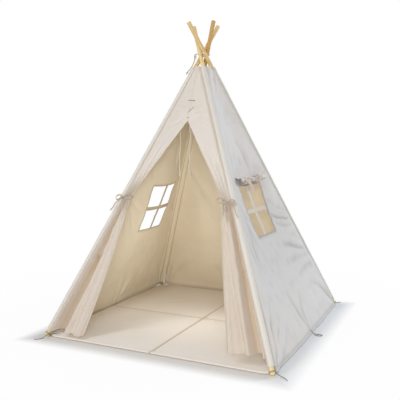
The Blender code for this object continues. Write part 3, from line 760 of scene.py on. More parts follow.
def leg_field(corner, face):
    """Two points across from the leg's line, for cloth sewn to this leg: one just beside it, one BLEND_WIDTH
    further.
    """
    foot, direction = leg_line(corner)
    across = square_to(direction, skin(face, 0, 0.3, 0) - foot)
    start = foot + across * 0.01
    return start, start + across * BLEND_WIDTH


def valley_shade(stands):
    """Painted shade in the creases: how far each point of a grid lies below the cloth round it, as a share of
    a deep hollow.
    """
    stands = np.array(stands)
    around = np.lib.stride_tricks.sliding_window_view(np.pad(stands, 4, mode="edge"), (9, 9)).mean((2, 3))
    return np.clip((around - stands) * VALLEY_SHADE_GAIN, 0, VALLEY_SHADE_MOST)


# Stitches


def stitch_tree():
    """Short threads, end to end along the input's edges, each lying along its line."""
    tree = bpy.data.node_groups.new("stitches along a line", "GeometryNodeTree")
    tree.interface.new_socket("Geometry", in_out="OUTPUT", socket_type="NodeSocketGeometry")
    tree.interface.new_socket("Geometry", in_out="INPUT", socket_type="NodeSocketGeometry")
    inputs = {}
    for name, value in (("Pitch", 0.005), ("Length", 0.0036), ("Thread", 0.0006)):
        socket = tree.interface.new_socket(name, in_out="INPUT", socket_type="NodeSocketFloat")
        socket.default_value = value
        inputs[name] = socket.identifier

    def node(kind, settings=(), **links):
        made = tree.nodes.new(kind)
        for name, value in dict(settings).items():
            setattr(made, name, value)
        for key, value in links.items():
            if isinstance(value, bpy.types.NodeSocket):
                tree.links.new(value, made.inputs[key])
            else:
                made.inputs[key].default_value = value
        return made.outputs

    given = node("NodeGroupInput")
    line = node("GeometryNodeMeshToCurve", Mesh=given["Geometry"])["Curve"]
    marks = node("GeometryNodeResampleCurve", {"mode": "LENGTH"}, Curve=line, Length=given["Pitch"])["Curve"]
    tangent = node("GeometryNodeInputTangent")["Tangent"]
    turn = node("FunctionNodeAlignRotationToVector", {"axis": "Z"}, Vector=tangent)["Rotation"]
    ball = node("GeometryNodeMeshUVSphere", Segments=6, Rings=5, Radius=0.5)["Mesh"]
    size = node("ShaderNodeCombineXYZ", X=given["Thread"], Y=given["Thread"], Z=given["Length"])["Vector"]
    shaped = node("GeometryNodeTransform", Geometry=ball, Scale=size)["Geometry"]
    placed = node("GeometryNodeInstanceOnPoints", Points=marks, Instance=shaped, Rotation=turn)["Instances"]
    real = node("GeometryNodeRealizeInstances", Geometry=placed)["Geometry"]
    finished = node("GeometryNodeSetMaterial", Geometry=real, Material=THREAD)["Geometry"]
    node("NodeGroupOutput", Geometry=finished)
    return tree, inputs


STITCH_TREE, STITCH_INPUTS = stitch_tree()


def stitched(name, lines, body, field=None, pitch=0.0052, thread=0.0006):
    """Rows of stitches along lines of points, made by the stitch tree into one plain mesh."""
    points, edges = [], []
    for line in lines:
        first = len(points)
        points += [tuple(point) for point in line]
        edges += [(first + index, first + index + 1) for index in range(len(line) - 1)]
    mesh = bpy.data.meshes.new(name + " lines")
    mesh.from_pydata(points, edges, [])
    holder = bpy.data.objects.new(name + " lines", mesh)
    bpy.context.scene.collection.objects.link(holder)
    modifier = holder.modifiers.new("stitches", "NODES")
    modifier.node_group = STITCH_TREE
    for label, value in (("Pitch", pitch), ("Length", pitch * STITCH_SHARE), ("Thread", thread)):
        modifier[STITCH_INPUTS[label]] = value
    graph = bpy.context.evaluated_depsgraph_get()
    made = bpy.data.meshes.new_from_object(holder.evaluated_get(graph), depsgraph=graph)
    bpy.data.objects.remove(holder)
    made.name = name
    piece = bpy.data.objects.new(name, made)
    bpy.context.scene.collection.objects.link(piece)
    if field:
        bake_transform(piece)
    else:
        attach(piece, body)
    return piece


# The left, right and back walls, each in two halves


def sewn(kind, face, end, grid, places, thickness, outside, missing, hollow, painted_shade_inside=None):
    """Half of a wall's cloth, made in place beside its leg."""
    corner = corner_at(face, end)
    outward = face_frame(face, 0, 0.5)[2]
    piece = cloth(f"{kind}_{face}_by_{corner}", grid, places, outward, thickness, outside, CANVAS_IN_WARM_SHADE, missing,
                  hollow, painted_shade_inside)
    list(leg_field(corner, face))
    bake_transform(piece)
    return piece


def wall_half(face, end, window):
    """Half of a wall, from the middle line to the leg at that end (-1 first, 1 second)."""
    reach = window_reach(face, end) if window else BACK_REACH
    sill, head = window_heights(face)
    marks = [HEM_HEIGHT, HEM_HEIGHT + HEM_BAND, COVER_TOP - TOP_BAND, COVER_TOP]
    if window:
        marks[2:2] = [sill - WINDOW_BAND, sill, head, head + WINDOW_BAND]
    heights = spaced(marks, ROW_PITCH)
    spans = []
    for height in heights:
        half = half_width(face, height)
        squeeze = drawn(face, height) if window else half / half_width(face, 0)
        inner = [mark * squeeze for mark in spaced([0.0, reach, reach + WINDOW_BAND], COLUMN_PITCH)]
        spans.append(inner + steps(inner[-1], half - EDGE_INSET, 42)[1:])
    table, slack = [], []
    for height, span in zip(heights, spans):
        above_hem = height - HEM_HEIGHT
        half = half_width(face, height)
        folded = above_hem <= HEM_BAND - NEAR_MARK or height >= COVER_TOP - TOP_BAND + NEAR_MARK
        # painted shade: two dark lines along the hem
        hem = 0.5 * bell(above_hem, 0.008) + 0.5 * bell(above_hem - 0.021, 0.004)
        beside_window = window and sill - WINDOW_BAND <= height <= head + WINDOW_BAND
        line = []
        for column in span:
            banded = beside_window and column <= (reach + WINDOW_BAND) * drawn(face, height) * 1.001
            out = CLOTH + FOLDED * folded + 0.0007 * banded
            # painted shade: a line beside the sleeve's seam and the hem's lines, and round the window a light
            # one over its band and a darker one at the opening's edge
            seam = 0.6 * bell(half - column - EDGE_INSET, 0.005) + hem
            if banded:
                at_opening = column <= (reach + 0.001) * drawn(face, height)
                seam += 0.65 if at_opening and sill - 0.001 <= height <= head + 0.001 else 0.15
            point = cloth_point(face, end * column, height, out)
            line.append((point, (end * column, height * SLANT), seam))
        table.append(line)
        # painted shade over the sagging middle of the wall
        level = SAG_SHADE * ease(1 - abs(height - 0.55) / 0.5)
        slack.append([level * ease((half - column) / 0.15) for column in span])
    grid, places, shades = cells_apart(table)
    missing = None
    if window:
        missing = np.zeros((len(heights) - 1, len(grid[0]) - 1), bool)
        open_rows = [row for row, height in enumerate(heights) if sill - 1e-6 < height < head - 1e-6]
        missing[open_rows, :len(spaced([0.0, reach], COLUMN_PITCH)) - 1] = True
    # the outside adds painted shade in the crease hollows and over the sag; the inside keeps only that of the
    # seams and hem
    stands = [[relief(face, end * column, height) for column in span] for height, span in zip(heights, spans)]
    outer = np.clip(np.array(shades) + valley_shade(stands) + slack, 0, 1)
    return sewn("wall", face, end, grid, places, CLOTH, WALL_OUT_COOL_SHADE, missing, outer, shades)


def wall_stitches(face, end, window):
    """Hem, top, sleeve-seam and window-band stitching of one wall half."""
    corner = corner_at(face, end)
    lines = []

    def sew(route, out=SEAM_LIFT):
        lines.append([cloth_point(face, end * along, height, CLOTH + out) for along, height in route])

    for height in (*(HEM_HEIGHT + up for up in HEM_SEAMS), COVER_TOP - TOP_SEAM):
        reach = half_width(face, height) - EDGE_INSET
        sew([(value, height) for value in spaced([0.0, reach], SEAM_PITCH)])
    for inset in SLEEVE_SEAMS:
        heights = spaced([HEM_HEIGHT + 0.01, COVER_TOP - TOP_BAND], 0.015)
        sew([(half_width(face, height) - inset, height) for height in heights], 0.0002)
    if window:
        sill, head = window_heights(face)
        for inset in WINDOW_SEAMS:
            low, high, wide = sill - inset, head + inset, window_reach(face, end) + inset
            route = [(value, low) for value in spaced([0.0, wide], SEAM_PITCH)]
            route += [(wide, value) for value in spaced([low, high], SEAM_PITCH)[1:]]
            route += [(value, high) for value in spaced([wide, 0.0], SEAM_PITCH)[1:]]
            sew([(along * drawn(face, height), height) for along, height in route])
    return stitched(f"wall_{face}_stitches_by_{corner}", lines, "leg_" + corner, leg_field(corner, face))


def parted(marks):
    """Values through each mark, and the number of the gap between marks that each step lies in."""
    values, owner = marks[:1], []
    for index, (low, high) in enumerate(zip(marks, marks[1:])):
        part = steps(low, high, max(2, round((high - low) / 0.008)))
        values += part[1:]
        owner += [index] * (len(part) - 1)
    return values, np.array(owner)


def window_cross(face, end):
    """This half of the cloth cross that parts the window in four, its ends sewn behind the band."""
    shift = window_shift(face)
    upright = BAR_HALF * UPRIGHT_SHARES[face]
    sill, head = window_heights(face)
    middle = (sill + head) / 2
    marks = [0.0, window_reach(face, end) + BAR_TUCK]
    if end * shift > 0:
        marks[1:1] = [abs(shift) - upright, abs(shift) + upright]
    columns, column_owner = parted(marks)
    rows, row_owner = parted([sill - BAR_TUCK, middle - BAR_HALF, middle + BAR_HALF, head + BAR_TUCK])
    grid, places = [], []
    for height in rows:
        outs = [CLOTH * 0.9 - 0.0009 + 0.0008 * math.sin(height * 46 + column * 31) for column in columns]
        grid.append([cloth_point(face, end * column * drawn(face, height), height, out)
                     for column, out in zip(columns, outs)])
        places.append([(end * column, height * SLANT) for column in columns])
    missing = (row_owner != 1)[:, None] & (column_owner != 1)
    # painted shade, even over the whole cross
    tone = np.full((len(rows), len(columns)), BAR_SHADES[face])
    return sewn("window_bars", face, end, grid, places, 0.0016, CANVAS_OUT, missing, tone)


# The front: each side is one cloth from the top, past the yoke, down its tied-back curtain


def curtain_width(height):
    if height >= TIE_HEIGHT:
        share = (height - TIE_HEIGHT) / (DOOR_APEX - TIE_HEIGHT)
        top = half_width("front", DOOR_APEX) - 0.0005
        return CURTAIN_TIE_WIDTH + (top - CURTAIN_TIE_WIDTH) * share
    share = 1 - height / TIE_HEIGHT
    return CURTAIN_TIE_WIDTH + (CURTAIN_HEM_WIDTH - CURTAIN_TIE_WIDTH) * share**0.8


def curtain_depth(height):
    if height >= TIE_HEIGHT:
        share = (height - TIE_HEIGHT) / (DOOR_APEX - TIE_HEIGHT)
        return CURTAIN_TIE_DEPTH * (1 - share) ** 2
    share = 1 - height / TIE_HEIGHT
    return CURTAIN_TIE_DEPTH + (CURTAIN_HEM_DEPTH - CURTAIN_TIE_DEPTH) * share


def curtain_point(side, inset, height, depth):
    along = side * (half_width("front", height) - inset)
    return skin("front", along, height, 0) + INWARD * depth


def front_field(side):
    """Two points for the front cloth, across and up from its leg at the tie."""
    corner = corner_at("front", side)
    foot, direction = leg_line(corner)
    across = square_to(direction, skin("front", 0, TIE_HEIGHT, 0) - foot)
    slope = across * 6.036 + direction * 1.0877
    start = leg_at(corner, TIE_HEIGHT) + slope * (0.3018 / slope.length_squared)
    return start, start + slope / slope.length_squared


def pleat(side, share, height):
    """How far in a curtain lies, as a share of its depth: gathers at the tie, and below it a deep
    hollow beside the sleeve, then broad soft folds out to the free edge."""
    gathers = ((1 - math.cos(math.tau * share * 3)) / 2) ** 0.85
    if height >= TIE_HEIGHT:
        return gathers
    fall = 1 - height / TIE_HEIGHT
    sway = 0.03 * math.sin(7 * height + side)
    centre, spread = (0.22, 0.17) if side < 0 else (0.17, 0.14)
    hollow = bell(share - centre - sway, spread, 4)
    folds = 0.3 * bell(share - 0.6 + sway * 2, 0.08) + 0.16 * bell(share - 0.83 - sway, 0.06)
    turned = 0.35 * ease((share - 0.9) / 0.1)
    broad = (hollow + (folds + turned) * (0.5 + 0.5 * fall)) * ease(share / 0.06) + 0.1 * share
    return gathers + (broad - gathers) * ease(fall * TIE_HEIGHT / 0.16)


def small_folds(side, share, height):
    """A curtain's small folds, and its crumples by themselves, which also set its painted shade:
    near the tie the cloth is drawn together, and below it the cloth hangs free."""
    fold = 0.004 * bell(height - TIE_HEIGHT, 0.05) * math.sin(share * 19 + 2 * side)
    if height >= TIE_HEIGHT:
        return fold, 0.0
    near = bell(height - 0.4, 0.1) * bell(share - 0.26, 0.2)
    crumple = (0.013 if side < 0 else 0.006) * near
    crumple *= rough(share * 3 - height * 12, height * 34 + share * 9, 9)
    soft = 0.012 * rough(share * 1.8, height * 2.4, 7 * side + 60) * share
    uneven = 0.005 * rough(share * 5 + height * 9, height * 16 - share * 7, side)
    uneven *= math.sin(math.pi * share) * ease((TIE_HEIGHT - height) / 0.1)
    return fold + soft + crumple + uneven, crumple


def front_panel(side):
    label = SIDES[side]
    bottom = CURTAIN_HEMS[side]
    marks = [COVER_TOP, COVER_TOP - TOP_BAND, DOOR_APEX, TIE_HEIGHT, bottom + CURTAIN_HEM, bottom]
    heights = spaced(marks, FRONT_PITCH)
    table = []
    for height in heights:
        half = half_width("front", height)
        above = height >= DOOR_APEX
        width = half - 0.00015 if above else curtain_width(height)
        depth = 0.0 if above else curtain_depth(height)
        flat = min(CURTAIN_FLAT, width / 2)
        below_tie = ease((TIE_HEIGHT - height) / 0.1)
        folded = height < bottom + CURTAIN_HEM - NEAR_MARK or height > COVER_TOP - TOP_BAND + NEAR_MARK
        line = []
        for share in steps(0, 1, FRONT_COLUMNS):
            inset = EDGE_INSET + (width - EDGE_INSET) * share
            pleated = max(0.0, inset - flat) / (width - flat)
            wave = pleat(side, pleated, height)
            fold, crumple = small_folds(side, pleated, height)
            at_edge = (width - inset) * (1 + 1.5 * below_tie) < (0.014 if above else CURTAIN_BAND)
            out = 0.0025 + 0.0009 * at_edge + FOLDED * folded
            stand = relief("front", side * (half - inset), height) * (1.0 if height > TIE_HEIGHT else 0.5)
            if above:
                stand *= 0.45 + 0.55 * ease((half - inset) / 0.02)
            dip = EDGE_DIP * ease(1 - (inset - EDGE_INSET) / 0.012)
            drop = -0.005 * math.sin(pleated * 9.5) * ease((bottom + 0.2 - height) / 0.2) * pleated
            inwards = depth * wave + fold - out + dip - stand
            point = curtain_point(side, inset, max(height + drop, 0.0185), inwards)
            gathered = 0.0 if above else (half - width) * pleated
            spot = (side * (half - inset - gathered), height * SLANT)
            # painted shade: a dark line beside the sleeve, a deeper tone in the hollow beside it and in the
            # crumples, and an even faint one over the curtain below the tie
            seam = (0.55 if height > TIE_HEIGHT else 0.85) * bell(inset - EDGE_INSET, 0.005)
            inner = 0.55 * ease((wave - 0.25) / 0.75) * ease((TIE_HEIGHT + 0.03 - height) / 0.06)
            shade = max(seam, inner + 60 * max(0.0, crumple), (0.22 if side < 0 else 0.32) * below_tie)
            line.append((point, spot, shade))
        table.append(line)
    grid, places, shades = cells_apart(table)
    outward = face_frame("front", 0, 0.8)[2]
    piece = cloth("front_cloth_" + label, grid, places, outward, 0.0022, CANVAS_OUT, CANVAS_IN_WARM_SHADE, hollow=shades)
    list(front_field(side))
    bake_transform(piece)
    return piece, grid, heights


def front_stitches(side, grid, heights):
    """Stitching down the folded free edge, along the hem and beside the sleeve."""
    label = SIDES[side]
    apex = max(index for index, height in enumerate(heights) if height >= DOOR_APEX)
    tie = max(index for index, height in enumerate(heights) if height >= TIE_HEIGHT)
    last = len(grid[0]) - 1
    lines = [[grid[row][last - 3] for row in range(apex + 1)],
             [grid[row][last - 1] for row in range(apex, len(grid) - 1, 2)],
             grid[len(grid) - 2][2:-1:2],
             grid[3][2:-1:2],
             [grid[row][3] for row in range(2, tie, 2)]]
    lift = face_frame("front", 0, 0.8)[2] * 0.0004
    lines = [[point + lift for point in line] for line in lines]
    return stitched("front_stitches_" + label, lines, "leg_front_" + label, front_field(side))


# The poles and the sleeves round them


def sleeve(corner):
    """The cloth tube round a pole: slightly slack, with a folded hem and sewn edges."""
    _, direction, side, across = leg_frame(corner)
    low = leg_start(POLE_RADIUS) + SLEEVE_START
    high = SLEEVE_STOP_HEIGHT / direction.z
    rings = spaced([low, low + 0.004, low + 0.022, high - 0.016, high], 0.009)
    sides = 28
    seed = SEEDS["front"] + 13 * list(CORNERS).index(corner)

    def reach(along, turn):
        spot = Vector((math.cos(turn) * 0.8, math.sin(turn) * 0.8, along * 9 + seed))
        slack = 0.0006 + 0.0011 * noise.noise(spot) + 0.0004 * noise.noise(spot * 3.1)
        wrinkle = 0.00045 * math.sin(along * 190 + 3.0 * math.sin(turn + along * 7))
        radius = SLEEVE_RADIUS + max(-0.0001, slack + wrinkle * max(0.0, noise.noise(spot * 0.6)))
        if along < low + 0.0215 or along > high - 0.0155:
            radius += 0.0006
        if along in (rings[0], rings[-1]):
            radius -= 0.0005
        return radius

    outer = leg_tube(corner, rings, sides, reach)
    inner = leg_tube(corner, rings, sides, lambda along, turn: SLEEVE_RADIUS - 0.0011)
    size = len(outer)
    faces, uvs = wrapped(rings, SLEEVE_RADIUS, sides)
    faces += [tuple(index + size for index in face)[::-1] for face in faces]
    uvs += [spot for start in range(0, len(uvs), 4) for spot in uvs[start:start + 4][::-1]]
    for ring, order in ((0, -1), (len(rings) - 1, 1)):
        for step in range(sides):
            here, after = (ring * sides + value for value in (step, (step + 1) % sides))
            faces.append((here, after, after + size, here + size)[::order])
            u0, u1 = (math.tau * SLEEVE_RADIUS * value / sides for value in (step, step + 1))
            uvs += [(value, rings[ring]) for value in (u0, u1, u1, u0)][::order]
    # what faces the tent's inside takes the inner cloth with its warm painted shade, a line of painted shade
    # runs beside the seam, and the back right sleeve is painted a little shade all round
    x, y = CORNERS[corner]
    inward = Vector((-x, -y, -0.6)).normalized()
    limit, line = (-0.8, 0.25) if corner == "back_left" else (0.6, 0.4)
    facing = [round_spot(side, across, math.tau * (step + 0.5) / sides).dot(inward) for step in range(sides)]
    slots = [int(value > limit) for value in facing] * (2 * len(rings) - 2) + [0] * (2 * sides)
    tone = 0.08 if corner == "back_right" else 0.0
    away = [-round_spot(side, across, turn).dot(inward) for turn in turns(sides)]
    marks = [line * bell(value - 0.15, 0.22) + tone for value in away]
    piece = add_mesh("sleeve_cloth_" + corner, outer + inner, faces, uvs, [SLEEVE_CANVAS, CANVAS_IN_WARM_SHADE], slots,
                     hollow=marks * (2 * len(rings)))
    dress(piece, "leg_" + corner, "canvas", "sleeve_" + corner)


def pole_end(corner, top):
    """A visible pole end, turned a little unevenly, its rim eased and its cut face showing rings."""
    foot, direction = leg_line(corner)
    start = leg_start(POLE_RADIUS)
    section = POLE_LENGTH / POLE_SECTIONS
    low, high = start, start + section - 0.00025
    if top:
        low, high = start + 3 * section + 0.00025, start + POLE_LENGTH
    rim = ((0.0, 0.82), (0.0004, 0.93), (0.0014, 0.985))
    shares = {low + past: share for past, share in rim}
    shares.update((value, 1.0) for value in spaced([low + 0.003, high - 0.003], 0.012))
    shares.update((high - past, share) for past, share in rim[::-1])
    seed = 5 * list(CORNERS).index(corner) + (40 if top else 0)
    sides = 32

    def reach(along, turn):
        uneven = rough(math.cos(turn), math.sin(turn), along * 5 + seed) * 0.00035 * (shares[along] == 1.0)
        return (POLE_RADIUS - 0.0002) * shares[along] + uneven

    points = leg_tube(corner, shares, sides, reach)
    faces, uvs = wrapped(list(shares), POLE_RADIUS, sides)
    for ring, order, value in ((0, -1, low), (len(shares) - 1, 1, high)):
        centre = len(points)
        points.append(foot + direction * value)
        for step in range(sides):
            faces.append((ring * sides + step, ring * sides + (step + 1) % sides, centre)[::order])
            uvs += [(0.0, value), (0.004, value), (0.002, value + 0.009)][::order]
    # painted shade: the pole's deeper tone, set by its corner
    piece = add_mesh(f"pole_wood_{corner}_{'top' if top else 'foot'}", points, faces, uvs, [WOOD], sharp=35,
                     hollow=[POLE_SHADES[corner]] * len(points))
    dress(piece, "leg_" + corner, "wood", f"pole_{corner}_{POLE_SECTIONS if top else 1}")


# Ribbons and their bows


def ribbon(name, route, width, thickness, material, body, *replaced):
    """A cloth ribbon along a route of (centre, across) pairs, with a soft roll to its edges."""
    centres = [Vector(centre) for centre, _ in route]
    widths = [Vector(across).normalized() for _, across in route]
    grid, places, run = [], [], 0.0
    columns = (-0.5, -0.42, -0.2, 0.0, 0.2, 0.42, 0.5)
    for index, (centre, across) in enumerate(zip(centres, widths)):
        run += (centre - centres[max(index - 1, 0)]).length
        ahead = centres[min(index + 1, len(centres) - 1)] - centres[max(index - 1, 0)]
        cup = ahead.cross(across).normalized() * 0.06 * width * math.sin(run * 70 + 1)
        grid.append([centre + across * width * value + cup * (4 * value * value - 0.5) for value in columns])
        places.append([(value * width, run) for value in columns])
    normal = (grid[1][3] - grid[0][3]).cross(widths[0])
    piece = cloth(name, grid, places, normal, thickness, material)
    dress(piece, body, "canvas", *replaced)
    return piece


def ribbon_route(points, across, spacing):
    """A smooth ribbon route through the points, its width all one way."""
    return [(centre, across) for centre in smooth_path(points, spacing)]


def lump(knot, ways, width, out, swell, count):
    """A knot's middle line, once round with four bulges, and how far round each of its points is."""
    line = []
    for turn in steps(0, math.tau, count):
        out_by = out + swell * math.sin(turn * 2) ** 2
        line.append((offset(knot, ways, (width * math.cos(turn), 0.0045 * math.sin(turn), out_by)), turn))
    return line


def bow(name, knot, knot_width, knot_thickness, strands, width, thickness, material, body):
    """A knot, then its loops and tails: each strand is its points and the way its width lies."""
    ribbon(name.format("knot"), knot, knot_width, knot_thickness, material, body)
    for part, (points, across) in strands.items():
        route = ribbon_route(points, across.normalized(), 0.0035)
        ribbon(name.format(part), route, width, thickness, material, body)


# Each strand of a bow: millimetres along, up and out from its knot
TIE_BOW = {
    "loop_in": ((-2, 1, 2), (-14, 11, 6), (-31, 13, 7), (-40, 4, 6), (-31, -5, 4),
                (-15, -3, 3), (-2, -1, 1)),
    "loop_out": ((2, 1, 2), (13, 9, 5), (26, 8, 6), (32, -2, 5), (25, -10, 3),
                 (13, -6, 2), (2, -1, 1)),
    "tail_in": ((-1, -2, 1), (-10, -12, 4), (-16, -30, 4), (-14, -52, 2), (-19, -74, 2)),
    "tail_out": ((1, -2, 1), (12, -10, 4), (20, -26, 4), (21, -43, 3), (26, -58, 3)),
}
ROLL_BOW = {
    "loop_a": ((-2, 1, 0), (-14, 9, 3), (-27, 7, 4), (-32, -3, 3), (-24, -10, 1),
               (-12, -6, 1), (-2, -1, 0)),
    "loop_b": ((2, 1, 0), (14, 7, 3), (25, 2, 4), (27, -8, 3), (19, -14, 1),
               (10, -7, 1), (2, -1, 0)),
    "tail_a": ((-1, -2, 0), (-12, -14, 4), (-34, -32, 2), (-60, -52, -4), (-86, -70, -10)),
    "tail_b": ((1, -2, 0), (-4, -18, 3), (-20, -38, 0), (-40, -56, -6), (-54, -70, -10)),
}
# the rear bow's first tail lies up along the roll
REAR_TAIL = ((-1, 2, 0), (-16, 8, 4), (-44, 14, 0), (-70, 22, -2), (-94, 34, -2))


def tie_back(side):
    """The ribbon from the sleeve round the bunched curtain, knotted in a bow at the front."""
    label = SIDES[side]
    body = "leg_front_" + label
    front, back, past = -0.0058, CURTAIN_TIE_DEPTH + 0.0034, 0.0034
    width = curtain_width(TIE_HEIGHT)
    above, below = (curtain_point(side, width, TIE_HEIGHT + up, 0) for up in (0.01, -0.01))
    slope = (above - below).normalized()
    stops = [(-0.01, 0.0035), (-0.004, front + 0.0015), (0.012, front), (width * 0.5, front),
             (width * 0.85, front), (width + past * 0.6, front + 0.0022), (width + past, 0.004),
             (width + past, back * 0.6), (width + past * 0.5, back - 0.001), (width * 0.8, back),
             (width * 0.45, back), (0.02, back)]
    points = [curtain_point(side, inset, TIE_HEIGHT, depth) for inset, depth in stops]
    route = ribbon_route(points, slope, 0.003)
    loop = ribbon("tie_back_ribbon_" + label, route, TAPE_WIDTH, 0.0012, TAPE, body, "tie_back_" + label)
    length_of(smooth_path(points, 0.003))
    knot = curtain_point(side, 0.02, TIE_HEIGHT, front - 0.004)
    level = (curtain_point(side, 0.01, TIE_HEIGHT, 0) - curtain_point(side, 0.02, TIE_HEIGHT, 0)).normalized()
    out = face_frame("front", 0, TIE_HEIGHT)[2]
    ways = (level, slope, out)
    round_knot = [(centre, level * math.sin(turn) * 0.4 + out)
                  for centre, turn in lump(knot, ways, 0.00315, 0.0016, 0.003, 14)]
    strands = {}
    for part, stops in TIE_BOW.items():
        points = [offset(knot, ways, [TIE_BOW_SCALE * (value / 1000) for value in stop]) for stop in stops]
        strands[part] = points, (out * 0.7 + slope * 0.7 if "loop" in part else level * 0.8 + out * 0.5)
    bow("tie_back_{}_" + label, round_knot, 0.0085, 0.0012, strands, 0.0075, 0.001, TAPE, body)


# Window flaps rolled up above their windows


def roll_frame(face, along):
    """The roll's middle line at this place along the wall, and the ways along, out and up from it."""
    height = WINDOW_HEAD + ROLL_DROP
    on_wall = skin(face, along, height, CLOTH)
    axis = skin(face, along + WINDOW_BAR, height, CLOTH) - skin(face, along - WINDOW_BAR, height, CLOTH)
    axis.normalize()
    outward = square_to(axis, face_frame(face, along, height)[2])
    upward = outward.cross(axis)
    if upward.z < 0:
        upward = -upward
    return on_wall + outward * (ROLL_ROOM + ROLL_RADIUS), axis, outward, upward


def rolled_flap(face):
    """The flap as one spiral of cloth hung from its seam, squeezed by its ribbons and sagging between."""
    shift = window_shift(face)
    half = WINDOW_WIDTH / 2 + ROLL_OVERHANG
    ties = [shift + side * (WINDOW_WIDTH / 2 - RIBBON_FROM_EDGE) for side in (-1, 1)]
    table = []
    for share in np.linspace(0, 1, ROLL_ROWS):
        line = []
        roll = min(1.0, share / ROLLED_SHARE)
        rise = max(0.0, share - ROLLED_SHARE) / (1 - ROLLED_SHARE)
        turn = -2.5 * math.pi + roll * ROLL_TURNS * math.tau
        for value in steps(-half, half, ROLL_COLUMNS):
            along = shift + value
            centre, axis, outward, upward = roll_frame(face, along)
            squeeze = 1 - 0.2 * sum(bell(along - tie, 0.013) for tie in ties)
            spot = Vector((along * 26, share * 3.2, SEEDS[face]))
            ragged = 0.82 + 0.34 * noise.noise(spot) + 0.2 * noise.noise(spot * 2.9)
            end = 1 - 0.1 * ease((abs(value) - half + 0.03) / 0.03)
            slip = 0.01 * rough(share * 2.2, 5.0 * (value > 0), SEEDS[face] + 3) * abs(value / half) ** 6
            sag = 0.0035 * math.cos(math.pi * min(1.0, abs(value) / (half * 0.62))) + 0.002
            radius = (ROLL_CORE + (ROLL_RADIUS - 0.0042) * roll**0.8) * squeeze * ragged * end
            point = centre + round_spot(outward, upward, turn) * radius - UP * sag
            if share >= ROLLED_SHARE:
                # from the outer turn up to the seam on the wall
                seam = cloth_point(face, along, WINDOW_HEAD + ROLL_DROP + FLAP_SEAM_RISE, CLOTH + 0.0014)
                point = point.lerp(seam, rise) + outward * 0.004 * math.sin(math.pi * rise)
            # painted shade beneath the roll, and where a turn lies further in than the rest
            underside_shade = ease(-0.2 - math.sin(turn)) if share < ROLLED_SHARE else 0.0
            shade = min(1.0, 0.6 * underside_shade + max(0.0, 0.92 - ragged) * 1.9)
            line.append((point + axis * slip, (along, share * FLAP_LENGTH), shade))
        table.append(line)
    grid, places, shades = cells_apart(table)
    outward = face_frame(face, shift, WINDOW_HEAD)[2]
    piece = cloth(f"rolled_flap_{face}", grid, places, outward, 0.0009, ROLL_CANVAS, hollow=shades)
    dress(piece, f"window_roll_{face}", "canvas", f"window_flap_{face}")
    return piece


def roll_ribbon(face, label, along):
    """A ribbon round the roll, tied in a small bow, its tails hanging over the window."""
    body = f"window_roll_{face}"
    centre, axis, outward, upward = roll_frame(face, along)
    if axis.cross(outward).z < 0:
        axis = -axis
    reach = ROLL_RADIUS + 0.0006
    points = [centre + round_spot(outward, upward, math.tau * share) * reach + axis * 0.002 * share
              for share in steps(0, 1, 16)]
    ribbon(f"roll_ribbon_{face}_{label}", ribbon_route(points, axis, 0.003), 0.0115, 0.001, ROLL_TAPE, body,
           f"flap_ribbon_{face}_{label}")
    knot = centre + outward * (reach + 0.003)
    ways = (axis, upward, outward)
    round_knot = [(centre, outward) for centre, _ in lump(knot, ways, 0.0035, 0.001, 0.0026, 12)]
    strands = {}
    for part, stops in ROLL_BOW.items():
        if (part, label) == ("tail_a", "rear"):
            stops = REAR_TAIL
        points = [offset(knot, ways, [value / 1000 for value in stop]) for stop in stops]
        square = (points[-1] - points[0]).cross(outward).normalized()
        if "loop" in part:
            across = outward * 0.8 + upward * 0.5
        elif label == "front":
            across = outward * 0.8 - square * 0.43
        else:
            across = square + outward * 0.25
        strands[part] = points, across
    bow(f"roll_{{}}_{face}_{label}", round_knot, 0.008, 0.001, strands, 0.0095, 0.0009, ROLL_TAPE, body)


# Floor mat: four quilted quarters in one cover, bound round the edge and sewn along two lines.
# A ripple is (x, y) at its start and its end, then its half width and its height.

MAT_RIPPLES = (
    (-0.42, -0.33, -0.14, -0.05, 0.02, 0.0016),
    (-0.5, 0.12, -0.12, 0.3, 0.024, -0.0018),
    (0.1, -0.3, 0.42, -0.08, 0.022, 0.0016),
    (0.08, 0.1, 0.46, 0.28, 0.024, -0.0016),
    (-0.18, 0.08, -0.08, 0.46, 0.02, 0.0014),
)
# the bound edge below the top: each row's height, and how far past the edge it stands
MAT_BINDING = ((0.0072, 0.0022), (0.0045, 0.0032), (0.0018, 0.0022), (0.0002, -0.001))


def mat_outline(across, up):
    """A place on the mat from its shares of the half width: the corners are rounded, the sides drawn in."""
    x, y = across * MAT_HALF, up * MAT_HALF
    flat = MAT_HALF - MAT_CORNER
    past_x, past_y = abs(x) - flat, abs(y) - flat
    if past_x > 0 and past_y > 0:
        share = max(past_x, past_y) / math.hypot(past_x, past_y)
        x = math.copysign(flat + past_x * share, x)
        y = math.copysign(flat + past_y * share, y)
    drawn_x, drawn_y = (1 - 0.004 / MAT_HALF * max(0.0, 1 - other**2) for other in (up, across))
    return x * drawn_x, y * drawn_y


def mat_height(across, up):
    """The padding's height: puffed quarters, puckered along their seams and slightly rippled."""
    puff = 1.0
    for value in (across, up):
        puff *= (1 - min(1.0, abs(2 * abs(value) - 1)) ** 5) ** 0.8
    x, y = across * MAT_HALF, up * MAT_HALF
    seam = min(abs(x), abs(y))
    along = x if abs(y) < abs(x) else y
    rise = 0.0012 * math.exp(-seam / 0.03) * math.sin(145 * along + 2.4 * rough(x * 9, y * 9, 2))
    rise += rough(x * 3.1, y * 3.1, 8) * 0.0022 + rough(x * 8, y * 8, 11) * 0.0011
    for *line, width, height in MAT_RIPPLES:
        share, aside = beside(x, y, line)
        if 0 < share < 1:
            rise += height * bell(aside, width) * math.sin(math.pi * share)
    return MAT_SEAM_HEIGHT + (MAT_PUFF + rise) * puff - MAT_SEAM_DIP * bell(seam, 0.0035)


